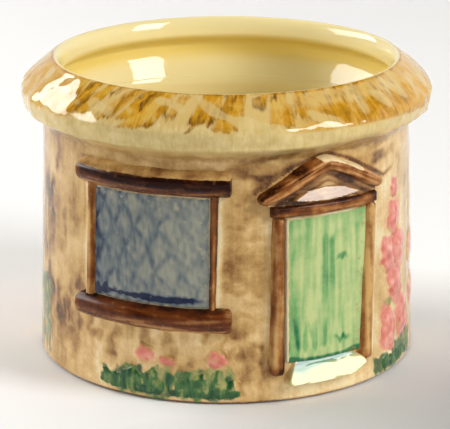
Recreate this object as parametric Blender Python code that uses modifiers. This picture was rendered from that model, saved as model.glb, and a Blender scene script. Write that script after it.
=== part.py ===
"""Cottage sugar bowl without a lid, as the clay parts that it is built from.

A turned shell carries a rolled thatch rim on its top edge. Pressed relief pieces sit on the outside
of the wall. Each half of the bowl has a framed window over a flower bed, a door with a gabled hood
and a step, and a spray of tall flowers. The halves are alike, half a turn apart.

Lengths are in metres, +Z is up, and the origin is the middle of the foot. The front is towards -Y.
A relief piece is modelled on a flat sheet first, with X along the wall, -Y outwards and Z up, and
is then bent round the wall.
"""

import math

import bmesh
import bpy
from mathutils import Matrix, Vector
from mathutils.geometry import interpolate_bezier

# Slip joint between two clay parts
SLIP_GAP = 0.0003

# Shell
WALL_HEIGHT = 0.0532
WALL_RADIUS_FOOT = 0.0426
WALL_RADIUS_EAVES = 0.0410
WALL_THICKNESS = 0.0042
FLOOR_THICKNESS = 0.0050
FLOOR_FILLET = 0.0050
FOOT_ROUND = 0.0013
FOOT_RING_WIDTH = 0.0045
FOOT_RECESS = 0.0012

# Thatch rim, with heights above the rim's seat on the wall
RIM_HEIGHT = 0.0139
RIM_OVERHANG = 0.0050
RIM_WIDEST_HEIGHT = 0.0075
RIM_FRINGE_HEIGHT = 0.0039
RIM_FRINGE_INSET = 0.0005
RIM_THICKNESS = 0.0047
LIP_SETBACK = 0.0030
LIP_THICKNESS = 0.0024
LIP_BAND = 0.0034
STRAW_TUFTS = 36
STRAW_RELIEF = 0.0004

# Window. The pane fills the height between sill and lintel.
WINDOW_OFFSET = -0.0168
PANE_WIDTH = 0.0264
PANE_RELIEF = 0.0006
JAMB_WIDTH = 0.0026
JAMB_RELIEF = 0.0014
LINTEL_HEIGHT = 0.0054
SILL_HEIGHT = 0.0052
WINDOW_BEAM_RELIEF = 0.0028
WINDOW_BEAM_OVERHANG = 0.0017
LINTEL_DROP = 0.0018
SILL_FLOOR = 0.0163

# Door. The leaf fills the height between step and lintel, and the lintel lies on the posts.
DOOR_OFFSET = 0.0219
LEAF_WIDTH = 0.0184
LEAF_RELIEF = 0.0006
POST_WIDTH = 0.0037
POST_RELIEF = 0.0020
POST_FLOOR = 0.0062
DOOR_LINTEL_HEIGHT = 0.0029
DOOR_LINTEL_RELIEF = 0.0023
STEP_FLOOR = 0.0046
STEP_HEIGHT = 0.0042
STEP_TREAD = 0.0024
STEP_TAPER = 0.0022

# Hood over the door. Its ridge reaches a little way up under the rim's cove.
HOOD_HEIGHT = 0.0092
HOOD_REACH = 0.0004
HOOD_OVERHANG = 0.0025
RIDGE_ROUND = 0.0045
RAFTER_DEPTH = 0.0032
RAFTER_RELIEF = 0.0032
TYMPANUM_RELIEF = 0.0022
TYMPANUM_RECESS = 0.0014
TYMPANUM_SLOPE = 0.0036

# Flower bed under the window: clump sizes, and each bloom's place, width and height
BED_FLOOR = 0.0014
BED_LENGTH = 0.0330
BED_HEIGHT = 0.0066
BED_RELIEF = 0.0010
BED_SHIFT = 0.0036
BED_BLOOM_RELIEF = 0.0011
BED_BLOOMS = ((-0.0010, 0.0042, 0.0042), (0.0044, 0.0038, 0.0022), (0.0148, 0.0040, 0.0042))

# Tall flowers beside the door: each bloom's place beside the stem, height, width and length
SPRAY_GAP = 0.0066
SPRAY_RELIEF = 0.0013
SPRAY_BLOOMS = (
    (-0.0004, 0.0424, 0.0036, 0.0032),
    (-0.0004, 0.0364, 0.0048, 0.0070),
    (-0.0031, 0.0284, 0.0052, 0.0068),
    (0.0031, 0.0299, 0.0058, 0.0062),
    (0.0008, 0.0211, 0.0052, 0.0066),
    (-0.0022, 0.0113, 0.0060, 0.0096),
    (0.0052, 0.0136, 0.0062, 0.0086),
    (0.0142, 0.0255, 0.0060, 0.0072),
    (0.0142, 0.0152, 0.0056, 0.0066),
)
SPRAY_LEAF_WIDTH = 0.0150
SPRAY_LEAF_HEIGHT = 0.0044
SPRAY_LEAF_SHIFT = 0.0022

# Petals and leaves
BLOOM_PETALS = 5
BLOOM_FRILL = 0.10
BLOOM_DIMPLE = 0.0003
LEAF_PITCH = 0.0036
LEAF_SPLIT = 0.0028
LEAF_STAGGER = 0.0010
LEAF_DROOP = 0.0014
LEAF_FAN = 0.0018

# Fineness of the facets
SHELL_STEPS = 72
STEPS_PER_TUFT = 3
BEND_STEP = 0.0030
EDGE_ROUND = 0.0009
ROUND_SEGMENTS = 2

# Places that follow from the sizes above
RIM_SEAT = WALL_HEIGHT + SLIP_GAP
ARC_RADIUS = (WALL_RADIUS_FOOT + WALL_RADIUS_EAVES) / 2
LINTEL_FLOOR = WALL_HEIGHT - LINTEL_DROP - LINTEL_HEIGHT
SILL_TOP = SILL_FLOOR + SILL_HEIGHT
JAMB_CENTRE = PANE_WIDTH / 2 + SLIP_GAP + JAMB_WIDTH / 2
WINDOW_BEAM_LENGTH = 2 * (JAMB_CENTRE + JAMB_WIDTH / 2 + WINDOW_BEAM_OVERHANG)
HOOD_FLOOR = WALL_HEIGHT + HOOD_REACH - HOOD_HEIGHT
DOOR_LINTEL_FLOOR = HOOD_FLOOR - SLIP_GAP - DOOR_LINTEL_HEIGHT
POST_CENTRE = LEAF_WIDTH / 2 + SLIP_GAP + POST_WIDTH / 2
DOOR_HALF = POST_CENTRE + POST_WIDTH / 2
STEP_TOP = STEP_FLOOR + STEP_HEIGHT
HOOD_HALF = DOOR_HALF + HOOD_OVERHANG
SPRAY_OFFSET = DOOR_OFFSET + HOOD_HALF + SPRAY_GAP


def wall_radius(height):
    """Outer radius of the wall at a height above the foot."""
    taper = (WALL_RADIUS_EAVES - WALL_RADIUS_FOOT) / WALL_HEIGHT
    return WALL_RADIUS_FOOT + taper * height


def arc(centre, radius, start, end, segments):
    """Points on a circle in a profile plane, between two angles in degrees."""
    turns = [math.radians(start + (end - start) * i / segments) for i in range(segments + 1)]
    return [(centre[0] + radius * math.cos(a), centre[1] + radius * math.sin(a)) for a in turns]


def bezier(start, start_handle, end_handle, end, count):
    """Points on one cubic curve in a profile plane."""
    knots = [Vector((*p, 0.0)) for p in (start, start_handle, end_handle, end)]
    return [(p.x, p.y) for p in interpolate_bezier(*knots, count)]


def joined(*stretches):
    """One outline from stretches that share their end points."""
    outline = []
    for stretch in stretches:
        outline += stretch[1:] if outline else stretch
    return outline


# Scene


def clear_scene():
    for obj in list(bpy.data.objects):
        bpy.data.objects.remove(obj)


def new_collection(name):
    collection = bpy.data.collections.new(name)
    bpy.context.scene.collection.children.link(collection)
    return collection


def glaze(name, colour, roughness=0.16):
    """A glossy painted glaze."""
    material = bpy.data.materials.new(name)
    material.use_nodes = True
    shader = material.node_tree.nodes["Principled BSDF"]
    shader.inputs["Base Color"].default_value = (*colour, 1.0)
    shader.inputs["Roughness"].default_value = roughness
    shader.inputs["Metallic"].default_value = 0.0
    return material


def guide(name, collection, parent=None, turn=0.0):
    """An empty on the bowl's axis, turned about it."""
    empty = bpy.data.objects.new(name, None)
    collection.objects.link(empty)
    empty.parent = parent
    empty.rotation_euler.z = turn
    return empty


def piece(name, mesh, material, collection, parent):
    """A clay part as an object of its own."""
    mesh.materials.clear()
    mesh.materials.append(material)
    obj = bpy.data.objects.new(name, mesh)
    collection.objects.link(obj)
    obj.parent = parent
    return obj


# Modelling helpers


def finished(bm, name):
    """The mesh of a bmesh, shaded smooth with its hard edges kept."""
    bmesh.ops.recalc_face_normals(bm, faces=bm.faces)
    mesh = bpy.data.meshes.new(name)
    bm.to_mesh(mesh)
    bm.free()
    mesh.shade_smooth()
    mesh.set_sharp_from_angle(angle=math.radians(40))
    return mesh


def turned(name, profile, steps, closed):
    """The mesh of a profile that is turned once about the bowl's axis."""
    bm = bmesh.new()
    verts = [bm.verts.new((r, 0.0, z)) for r, z in profile]
    for a, b in zip(verts, verts[1:]):
        bm.edges.new((a, b))
    if closed:
        bm.edges.new((verts[-1], verts[0]))
    mesh = bpy.data.meshes.new(name + "_profile")
    bm.to_mesh(mesh)
    bm.free()
    lathe = bpy.data.objects.new(name + "_lathe", mesh)
    bpy.context.scene.collection.objects.link(lathe)
    screw = lathe.modifiers.new("Turn", "SCREW")
    screw.axis = "Z"
    screw.steps = screw.render_steps = steps
    screw.use_merge_vertices = True
    screw.merge_threshold = 0.00005
    solid = evaluated_mesh(lathe)
    bpy.data.objects.remove(lathe)
    return solid


def evaluated_mesh(obj):
    """A new mesh of an object as its modifiers or its curve settings make it."""
    graph = bpy.context.evaluated_depsgraph_get()
    return bpy.data.meshes.new_from_object(obj.evaluated_get(graph))


def block(width, relief, floor, height):
    """A box on the flat sheet, with its back on the slip joint."""
    bm = bmesh.new()
    bmesh.ops.create_cube(bm, size=1.0)
    bmesh.ops.scale(bm, vec=(width, relief, height), verts=bm.verts)
    middle = Vector((0.0, -SLIP_GAP - relief / 2, floor + height / 2))
    bmesh.ops.translate(bm, vec=middle, verts=bm.verts)
    return bm


def plate(outline, relief):
    """A flat outline on the sheet, given in X and Z, made as thick as its relief."""
    curve = bpy.data.curves.new("outline", "CURVE")
    curve.dimensions = "2D"
    curve.fill_mode = "BOTH"
    curve.extrude = relief / 2
    spline = curve.splines.new("POLY")
    spline.points.add(len(outline) - 1)
    for point, (x, z) in zip(spline.points, outline):
        point.co = (x, z, 0.0, 1.0)
    spline.use_cyclic_u = True
    drawn = bpy.data.objects.new("outline", curve)
    bpy.context.scene.collection.objects.link(drawn)
    mesh = evaluated_mesh(drawn)
    bpy.data.objects.remove(drawn)
    bm = bmesh.new()
    bm.from_mesh(mesh)
    bpy.data.meshes.remove(mesh)
    bmesh.ops.remove_doubles(bm, verts=bm.verts, dist=0.00001)
    bmesh.ops.dissolve_limit(bm, angle_limit=math.radians(1), verts=bm.verts, edges=bm.edges)
    stand_up = Matrix.Rotation(math.radians(90), 4, "X")
    bmesh.ops.transform(bm, matrix=stand_up, verts=bm.verts)
    bmesh.ops.translate(bm, vec=(0.0, -SLIP_GAP - relief / 2, 0.0), verts=bm.verts)
    return bm


def round_front(bm, radius, segments=ROUND_SEGMENTS):
    """Rounds the edges of a piece's front face."""
    front = min(v.co.y for v in bm.verts)
    edges = [e for e in bm.edges if all(v.co.y < front + SLIP_GAP / 2 for v in e.verts)]
    bmesh.ops.bevel(
        bm, geom=edges, offset=radius, segments=segments, profile=0.5, affect="EDGES", clamp_overlap=True
    )


def cut_into_strips(bm):
    """Cuts a piece upright at even steps, so that it can bend."""
    low = min(v.co.x for v in bm.verts)
    high = max(v.co.x for v in bm.verts)
    strips = max(1, math.ceil((high - low) / BEND_STEP))
    for i in range(1, strips):
        cut = low + (high - low) * i / strips
        bmesh.ops.bisect_plane(
            bm,
            geom=bm.verts[:] + bm.edges[:] + bm.faces[:],
            plane_co=(cut, 0.0, 0.0),
            plane_no=(1.0, 0.0, 0.0),
            dist=0.000001,
        )


def bent(bm, name, shift=0.0):
    """Bends a flat piece round the wall, moved along it by a shift, and finishes its mesh."""
    cut_into_strips(bm)
    for v in bm.verts:
        angle = (v.co.x + shift) / ARC_RADIUS
        radius = wall_radius(v.co.z) - v.co.y
        v.co.x = radius * math.sin(angle)
        v.co.y = -radius * math.cos(angle)
    return finished(bm, name)


def pressed_button(width, height, relief, lobes, frill, dimple):
    """A domed button with a lobed edge, a dimpled middle and a flat back, round the sheet's origin."""
    bm = bmesh.new()
    bmesh.ops.create_uvsphere(bm, u_segments=4 * lobes, v_segments=6, radius=1.0)
    bmesh.ops.rotate(bm, matrix=Matrix.Rotation(math.radians(90), 3, "X"), verts=bm.verts)
    for v in bm.verts:
        angle = math.atan2(v.co.z, v.co.x)
        lobe = 1 + frill * math.cos(lobes * (angle - math.pi / 2))
        sunk = dimple if v.co.y < -0.99 else 0.0
        v.co.x *= lobe * width / 2 / (1 + frill)
        v.co.z *= lobe * height / 2 / (1 + frill)
        v.co.y = -SLIP_GAP - relief * max(0.0, -v.co.y) + sunk
    back = [f for f in bm.faces if all(v.co.y > -SLIP_GAP * 1.01 for v in f.verts)]
    bmesh.ops.dissolve_faces(bm, faces=back, use_verts=True)
    return bm


def leafy_outline(width, height):
    """Outline of a clump of leaves that fan out over a narrower foot and droop towards its ends."""
    leaves = max(2, round(width / LEAF_PITCH))
    pitch = width / leaves
    split = max(height - LEAF_SPLIT, height / 4)
    reach = height - split
    droop = min(LEAF_DROOP, reach / 3)
    stagger = min(LEAF_STAGGER, reach / 3)
    fan = min(LEAF_FAN, width / 6)
    neck = (width - 2 * fan) / width
    outline = [(-width / 2 + fan, 0.0)]
    for i in range(leaves):
        share = 2 * (i + 0.5) / leaves - 1
        drop = droop * share * share
        tip = (share * width / 2, height - drop - stagger * (i % 2))
        for edge in (i, i + 1):
            foot = (neck * (edge * pitch - width / 2), split - drop)
            swell = (foot[0] + share * fan, (foot[1] + tip[1]) / 2)
            side = bezier(foot, swell, (tip[0] + (foot[0] - tip[0]) * 0.3, tip[1] - reach / 6), tip, 4)
            outline += side if edge == i else side[-2:0:-1]
    return outline + [(width / 2 - fan, 0.0)]


# Shell and rim


def shell_mesh():
    """Floor, wall and foot ring in one turned piece."""
    inner_foot = WALL_RADIUS_FOOT - WALL_THICKNESS
    inner_eaves = WALL_RADIUS_EAVES - WALL_THICKNESS
    fillet_middle = (inner_foot - FLOOR_FILLET, FLOOR_THICKNESS + FLOOR_FILLET)
    foot_middle = (wall_radius(FOOT_ROUND) - FOOT_ROUND, FOOT_ROUND)
    ring_inner = WALL_RADIUS_FOOT - FOOT_ROUND - FOOT_RING_WIDTH
    profile = [
        (0.0, FLOOR_THICKNESS),
        *arc(fillet_middle, FLOOR_FILLET, -90, 0, 4),
        (inner_eaves, WALL_HEIGHT),
        (WALL_RADIUS_EAVES, WALL_HEIGHT),
        *arc(foot_middle, FOOT_ROUND, 0, -90, 3),
        (ring_inner, 0.0),
        (ring_inner - FOOT_RECESS, FOOT_RECESS),
        (0.0, FOOT_RECESS),
    ]
    return smooth_turned("bowl_shell", profile, SHELL_STEPS, closed=False)


def smooth_turned(name, profile, steps, closed):
    """A turned mesh with welded seams, shaded smooth."""
    mesh = turned(name, profile, steps, closed)
    bm = bmesh.new()
    bm.from_mesh(mesh)
    bpy.data.meshes.remove(mesh)
    bmesh.ops.remove_doubles(bm, verts=bm.verts, dist=0.00001)
    return finished(bm, name)


def rim_profile():
    """Closed outline of the rim: up its hollow inside, over the lip and down the thatch."""
    wall_inner = WALL_RADIUS_EAVES - WALL_THICKNESS
    widest = WALL_RADIUS_EAVES + RIM_OVERHANG
    crest = WALL_RADIUS_EAVES - LIP_SETBACK
    lip_inner = crest - LIP_THICKNESS / 2
    top = RIM_SEAT + RIM_HEIGHT
    widest_height = RIM_SEAT + RIM_WIDEST_HEIGHT
    fringe = (widest - RIM_FRINGE_INSET, RIM_SEAT + RIM_FRINGE_HEIGHT)
    seat_inner = (wall_inner, RIM_SEAT)
    hollow = (widest - RIM_THICKNESS, widest_height)
    band_floor = (lip_inner, top - LIP_THICKNESS / 2 - LIP_BAND)
    seat_bend = RIM_FRINGE_HEIGHT / 2
    band_bend = (band_floor[1] - hollow[1]) / 2
    corner = RIM_OVERHANG / 4
    return joined(
        bezier(seat_inner, (wall_inner, RIM_SEAT + seat_bend), (hollow[0], hollow[1] - seat_bend), hollow, 4),
        bezier(
            hollow,
            (hollow[0], hollow[1] + band_bend),
            (lip_inner, band_floor[1] - band_bend),
            band_floor,
            4,
        ),
        [band_floor, (lip_inner, top - LIP_THICKNESS / 2)],
        bezier(
            (lip_inner, top - LIP_THICKNESS / 2),
            (lip_inner, top - LIP_THICKNESS / 6),
            (crest - LIP_THICKNESS / 3, top),
            (crest, top),
            3,
        ),
        bezier(
            (crest, top),
            (crest + corner, top),
            (widest, widest_height + corner),
            (widest, widest_height),
            6,
        ),
        [(widest, widest_height), fringe],
        bezier(
            fringe,
            (fringe[0], fringe[1] - corner),
            (WALL_RADIUS_EAVES, RIM_SEAT + corner),
            (WALL_RADIUS_EAVES, RIM_SEAT),
            4,
        ),
    )


def rim_mesh():
    """The turned rim, with straw combed into its outer slope."""
    mesh = smooth_turned("thatch_rim", rim_profile(), STRAW_TUFTS * STEPS_PER_TUFT, closed=True)
    fringe = RIM_SEAT + RIM_FRINGE_HEIGHT
    fade = RIM_HEIGHT - RIM_WIDEST_HEIGHT
    moved = []
    for v in mesh.vertices:
        radial = Vector((v.co.x, v.co.y, 0.0)).normalized()
        facing = max(0.0, v.normal.dot(radial))
        above = min(1.0, max(0.0, (v.co.z - fringe) / fade))
        tuft = math.atan2(v.co.y, v.co.x) * STRAW_TUFTS
        groove = (1 - math.cos(tuft)) / 2
        moved.append(v.co - v.normal * (STRAW_RELIEF * facing * above * groove))
    for v, place in zip(mesh.vertices, moved):
        v.co = place
    return mesh


# Window


def window_meshes():
    beam_round = min(EDGE_ROUND * 1.4, WINDOW_BEAM_RELIEF / 2)
    meshes = {}
    beams = (("window_lintel", LINTEL_FLOOR, LINTEL_HEIGHT), ("window_sill", SILL_FLOOR, SILL_HEIGHT))
    for name, floor, height in beams:
        beam = block(WINDOW_BEAM_LENGTH, WINDOW_BEAM_RELIEF, floor, height)
        round_front(beam, beam_round)
        meshes[name] = bent(beam, name)
    opening_floor = SILL_TOP + SLIP_GAP
    opening_height = LINTEL_FLOOR - SLIP_GAP - opening_floor
    for name, side in (("window_jamb_left", -1), ("window_jamb_right", 1)):
        jamb = block(JAMB_WIDTH, JAMB_RELIEF, opening_floor, opening_height)
        round_front(jamb, min(EDGE_ROUND, JAMB_WIDTH / 3))
        meshes[name] = bent(jamb, name, side * JAMB_CENTRE)
    pane = block(PANE_WIDTH, PANE_RELIEF, opening_floor, opening_height)
    round_front(pane, PANE_RELIEF / 2, 1)
    meshes["window_pane"] = bent(pane, "window_pane")
    return meshes


# Door


def door_meshes():
    meshes = {}
    post_height = DOOR_LINTEL_FLOOR - SLIP_GAP - POST_FLOOR
    for name, side in (("door_post_left", -1), ("door_post_right", 1)):
        post = block(POST_WIDTH, POST_RELIEF, POST_FLOOR, post_height)
        round_front(post, min(POST_WIDTH * 0.42, POST_RELIEF * 0.8), 3)
        meshes[name] = bent(post, name, side * POST_CENTRE)
    lintel = block(2 * DOOR_HALF, DOOR_LINTEL_RELIEF, DOOR_LINTEL_FLOOR, DOOR_LINTEL_HEIGHT)
    round_front(lintel, min(EDGE_ROUND, DOOR_LINTEL_HEIGHT / 3))
    meshes["door_lintel"] = bent(lintel, "door_lintel")
    leaf_floor = STEP_TOP + SLIP_GAP
    leaf_height = DOOR_LINTEL_FLOOR - SLIP_GAP - leaf_floor
    leaf = block(LEAF_WIDTH, LEAF_RELIEF, leaf_floor, leaf_height)
    round_front(leaf, LEAF_RELIEF / 2, 1)
    meshes["door_leaf"] = bent(leaf, "door_leaf")
    meshes["door_step"] = bent(step_bmesh(), "door_step")
    return meshes


def step_bmesh():
    """A step whose tread slopes out from the foot of the leaf and narrows towards it."""
    bm = block(LEAF_WIDTH, STEP_TREAD, STEP_FLOOR, STEP_HEIGHT)
    middle = STEP_FLOOR + STEP_HEIGHT / 2
    for v in bm.verts:
        if v.co.z > middle:
            v.co.x -= math.copysign(STEP_TAPER, v.co.x)
            if v.co.y < -SLIP_GAP - STEP_TREAD / 2:
                v.co.y = -SLIP_GAP - LEAF_RELIEF
    round_front(bm, min(EDGE_ROUND, STEP_TREAD / 3))
    return bm


def rafter_line():
    """Middle line of the right rafter, level at the ridge and falling to its foot."""
    ridge = (0.0, HOOD_FLOOR + HOOD_HEIGHT - RAFTER_DEPTH / 2)
    foot = (HOOD_HALF - RAFTER_DEPTH / 2, HOOD_FLOOR + RAFTER_DEPTH / 2)
    fall = (foot[1] - ridge[1]) / (foot[0] - ridge[0])
    ridge_handle = (RIDGE_ROUND, ridge[1])
    foot_handle = ((foot[0] + RIDGE_ROUND) / 2, foot[1] - fall * (foot[0] - RIDGE_ROUND) / 2)
    return bezier(ridge, ridge_handle, foot_handle, foot, 8)


def beside(line, distance):
    """Points at a distance above a line that runs down from the middle of the hood."""
    mirrored = (-line[1][0], line[1][1])
    around = [mirrored, *line, line[-1]]
    points = []
    for before, (x, z), after in zip(around, line, around[2:]):
        run = Vector((after[0] - before[0], after[1] - before[1])).normalized()
        points.append((x - run.y * distance, z + run.x * distance))
    return points


def hood_meshes():
    """Two rafters that meet at the ridge, and the gable panel between them."""
    line = rafter_line()
    upper = beside(line, RAFTER_DEPTH / 2)
    lower = beside(line, -RAFTER_DEPTH / 2)
    foot = line[-1]
    lean = math.degrees(math.atan2(upper[-1][1] - foot[1], upper[-1][0] - foot[0]))
    rolled = arc(foot, RAFTER_DEPTH / 2, lean, lean - 180, 6)
    outline = joined(upper, rolled, lower[::-1])
    mitred = [(max(x, SLIP_GAP / 2), z) for x, z in outline]
    meshes = {}
    for name, side in (("hood_rafter_left", -1), ("hood_rafter_right", 1)):
        rafter = plate([(side * x, z) for x, z in mitred], RAFTER_RELIEF)
        round_front(rafter, min(EDGE_ROUND, RAFTER_RELIEF / 3))
        meshes[name] = bent(rafter, name)
    under = beside(line, -RAFTER_DEPTH / 2 - SLIP_GAP)
    gable = [point for point in under if point[1] > HOOD_FLOOR + SLIP_GAP]
    corner = (gable[-1][0], HOOD_FLOOR)
    right = [*gable, corner]
    left = [(-x, z) for x, z in right[:0:-1]]
    panel = plate(left + right, TYMPANUM_RELIEF)
    weather_panel(panel)
    meshes["hood_tympanum"] = bent(panel, "hood_tympanum")
    return meshes


def weather_panel(bm):
    """Slopes a panel's front back from its floor, up to a recessed upper part."""
    bmesh.ops.bisect_plane(
        bm,
        geom=bm.verts[:] + bm.edges[:] + bm.faces[:],
        plane_co=(0.0, 0.0, HOOD_FLOOR + TYMPANUM_SLOPE),
        plane_no=(0.0, 0.0, 1.0),
    )
    for v in bm.verts:
        if v.co.y < -SLIP_GAP - TYMPANUM_RELIEF / 2:
            share = min(1.0, (v.co.z - HOOD_FLOOR) / TYMPANUM_SLOPE)
            v.co.y += TYMPANUM_RECESS * share


# Plants


def clump(name, width, height, relief, centre_x, floor):
    """A clump of pressed leaves that stands on a floor height."""
    outline = [(x, z + floor) for x, z in leafy_outline(width, height)]
    bm = plate(outline, relief)
    round_front(bm, relief / 2, 1)
    return bent(bm, name, centre_x)


def bloom(name, width, height, relief, centre_x, centre_z):
    """A five-petalled bloom."""
    bm = pressed_button(width, height, relief, BLOOM_PETALS, BLOOM_FRILL, BLOOM_DIMPLE)
    bmesh.ops.translate(bm, vec=(0.0, 0.0, centre_z), verts=bm.verts)
    return bent(bm, name, centre_x)


def bed_leaf_meshes():
    clump_width = (BED_LENGTH - SLIP_GAP) / 2
    leaves = {}
    for name, side in (("bed_leaves_left", -1), ("bed_leaves_right", 1)):
        place = BED_SHIFT + side * (clump_width + SLIP_GAP) / 2
        leaves[name] = clump(name, clump_width, BED_HEIGHT, BED_RELIEF, place, BED_FLOOR)
    return leaves


def bed_bloom_meshes():
    bloom_floor = BED_FLOOR + BED_HEIGHT + SLIP_GAP
    blooms = {}
    for i, (place, width, height) in enumerate(BED_BLOOMS, 1):
        name = f"bed_bloom_{i}"
        blooms[name] = bloom(name, width, height, BED_BLOOM_RELIEF, place, bloom_floor + height / 2)
    return blooms


def spray_leaf_meshes():
    name = "spray_leaves"
    leaves = clump(name, SPRAY_LEAF_WIDTH, SPRAY_LEAF_HEIGHT, SPRAY_RELIEF, SPRAY_LEAF_SHIFT, BED_FLOOR)
    return {name: leaves}


def spray_bloom_meshes():
    blooms = {}
    for i, (place, height, width, length) in enumerate(SPRAY_BLOOMS, 1):
        name = f"spray_bloom_{i}"
        blooms[name] = bloom(name, width, length, SPRAY_RELIEF, place, height)
    return blooms


# Assembly


def main():
    clear_scene()
    collection = new_collection("cottage_sugar_bowl")
    cream = glaze("cream_wall", (0.62, 0.44, 0.21))
    straw = glaze("straw_thatch", (0.62, 0.40, 0.12))
    brown = glaze("brown_timber", (0.17, 0.07, 0.03))
    blue_grey = glaze("blue_grey_pane", (0.16, 0.18, 0.17))
    green_door = glaze("green_door", (0.36, 0.50, 0.20))
    leaf_green = glaze("leaf_green", (0.08, 0.18, 0.06))
    pink = glaze("pink_bloom", (0.80, 0.34, 0.25))

    bowl = guide("sugar_bowl", collection)
    piece("bowl_shell", shell_mesh(), cream, collection, bowl)
    piece("thatch_rim", rim_mesh(), straw, collection, bowl)

    finishes = {
        "window_pane": blue_grey,
        "door_leaf": green_door,
        "door_step": cream,
        "hood_tympanum": cream,
    }
    groups = (
        ("window", WINDOW_OFFSET, window_meshes(), brown),
        ("door", DOOR_OFFSET, {**door_meshes(), **hood_meshes()}, brown),
        ("bed_leaves", WINDOW_OFFSET, bed_leaf_meshes(), leaf_green),
        ("bed_blooms", WINDOW_OFFSET, bed_bloom_meshes(), pink),
        ("spray_leaves", SPRAY_OFFSET, spray_leaf_meshes(), leaf_green),
        ("spray_blooms", SPRAY_OFFSET, spray_bloom_meshes(), pink),
    )
    for half, turn in (("front", 0.0), ("back", math.pi)):
        half_guide = guide(f"{half}_half", collection, bowl, turn)
        for group, offset, meshes, finish in groups:
            group_guide = guide(f"{half}_{group}_place", collection, half_guide, offset / ARC_RADIUS)
            for name, mesh in meshes.items():
                piece(f"{half}_{name}", mesh, finishes.get(name, finish), collection, group_guide)


main()
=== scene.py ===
"""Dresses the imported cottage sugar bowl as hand-painted, glossy earthenware.

Every relief piece is a fine patch of clay that is modelled on a flat sheet, bent round the tapered
wall and sunk a little into it. Lengths are in millimetres; finished meshes and the studio are in
metres. On a sheet, arc runs round the wall from the middle of the front, positive towards +X, rise
stands out of the wall and z is the height. Paint is worked out at each point of a mesh as cover, tone
and wash, and the materials turn it into colour.
"""

import logging
import math
from dataclasses import dataclass, field
from enum import Enum
from functools import partial, reduce

import bpy
import numpy as np
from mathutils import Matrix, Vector
from mathutils.geometry import interpolate_bezier


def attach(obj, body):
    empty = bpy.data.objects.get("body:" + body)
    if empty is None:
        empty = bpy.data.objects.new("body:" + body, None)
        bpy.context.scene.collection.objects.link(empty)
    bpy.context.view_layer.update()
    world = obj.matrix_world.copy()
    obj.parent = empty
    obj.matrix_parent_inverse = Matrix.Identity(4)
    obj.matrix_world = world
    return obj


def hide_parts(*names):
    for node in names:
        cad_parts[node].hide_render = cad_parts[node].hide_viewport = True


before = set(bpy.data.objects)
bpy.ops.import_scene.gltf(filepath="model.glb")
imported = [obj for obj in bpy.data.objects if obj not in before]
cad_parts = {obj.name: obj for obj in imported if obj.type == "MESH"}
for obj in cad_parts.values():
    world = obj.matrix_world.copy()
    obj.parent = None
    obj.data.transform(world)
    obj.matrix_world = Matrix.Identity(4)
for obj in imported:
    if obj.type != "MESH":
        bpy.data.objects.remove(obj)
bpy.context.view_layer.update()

LOG = logging.getLogger("cottage_bowl")

Colour = tuple[float, float, float]
Pair = tuple[float, float]
Stretch = tuple[float, float, float]
Array = np.ndarray
Arrays = tuple[np.ndarray, np.ndarray]
Sockets = bpy.types.NodeSocket
Material = bpy.types.Material
Mesh = bpy.types.Mesh
Piece = bpy.types.Object

MM = 0.001
SLIP_GAP = 0.3
SINK = 0.5
SINK_SLOPE = 1.5
TURN = 2 * math.pi
GLAZE_IOR = 1.48
FULL_GLOSS = 0.5
WINDOW_ARC = -16.8
DOOR_ARC = 21.9
UNSTRETCHED = (1.0, 1.0, 1.0)


# Small helpers on arrays


def smooth(low: float, high: float, value: Array) -> Array:
    """Rises softly from 0 to 1 between two values; falls if low is above high."""
    share = np.clip((value - low) / (high - low), 0.0, 1.0)
    return share * share * (3 - 2 * share)


def blend(first: Array, second: Array, share: Array) -> Array:
    """Mixes two values by a share."""
    return first + (second - first) * share


def peak(offset: Array, width: float) -> Array:
    """A soft peak of 1 where the offset is 0."""
    return np.exp(-((offset / width) ** 2))


def fade(distance: Array, reach: float) -> Array:
    """Falls from 1 at no distance towards 0."""
    return np.exp(-distance / reach)


def wrapped(value: Array, period: float) -> Array:
    """A value brought within half a period of 0."""
    return (value + period / 2) % period - period / 2


def uneven(noise: Array) -> Array:
    """A strength that a noise varies."""
    return 0.7 + 0.6 * noise


def box_depth(x: Array, y: Array, half_x: float, half_y: float, corner: float) -> Array:
    """How far points lie inside a box with round corners.

    Args:
        x: Places along the box, from its middle.
        y: Places across the box, from its middle.
        half_x: Half its length.
        half_y: Half its width.
        corner: Radius of its corners.

    Returns:
        The depth inside the outline, negative outside it.
    """
    over_x = np.abs(x) - (half_x - corner)
    over_y = np.abs(y) - (half_y - corner)
    outside = np.hypot(np.maximum(over_x, 0.0), np.maximum(over_y, 0.0))
    return corner - outside - np.minimum(np.maximum(over_x, over_y), 0.0)


def rounded(depth: Array, relief: float, shoulder: float) -> Array:
    """Rise of a rounded form over its outline, sinking into the wall outside it.

    Args:
        depth: How far points lie inside the outline.
        relief: Full rise.
        shoulder: Depth at which the full rise is reached.

    Returns:
        The rise above the wall.
    """
    share = np.clip(depth / shoulder, 0.0, 1.0)
    dome = relief * np.sqrt(1 - (1 - share) ** 2)
    return np.where(depth > 0, dome, np.maximum(SINK_SLOPE * depth, -SINK))


def softened(x: Array, places: tuple[float, ...], values: tuple[float, ...], blur: float) -> Array:
    """Values between knots, with the corners at the knots rounded off over a blur."""
    shifts = (-1.0, -0.5, 0.0, 0.5, 1.0)
    return sum(np.interp(x + blur * shift, places, values) for shift in shifts) / len(shifts)


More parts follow.
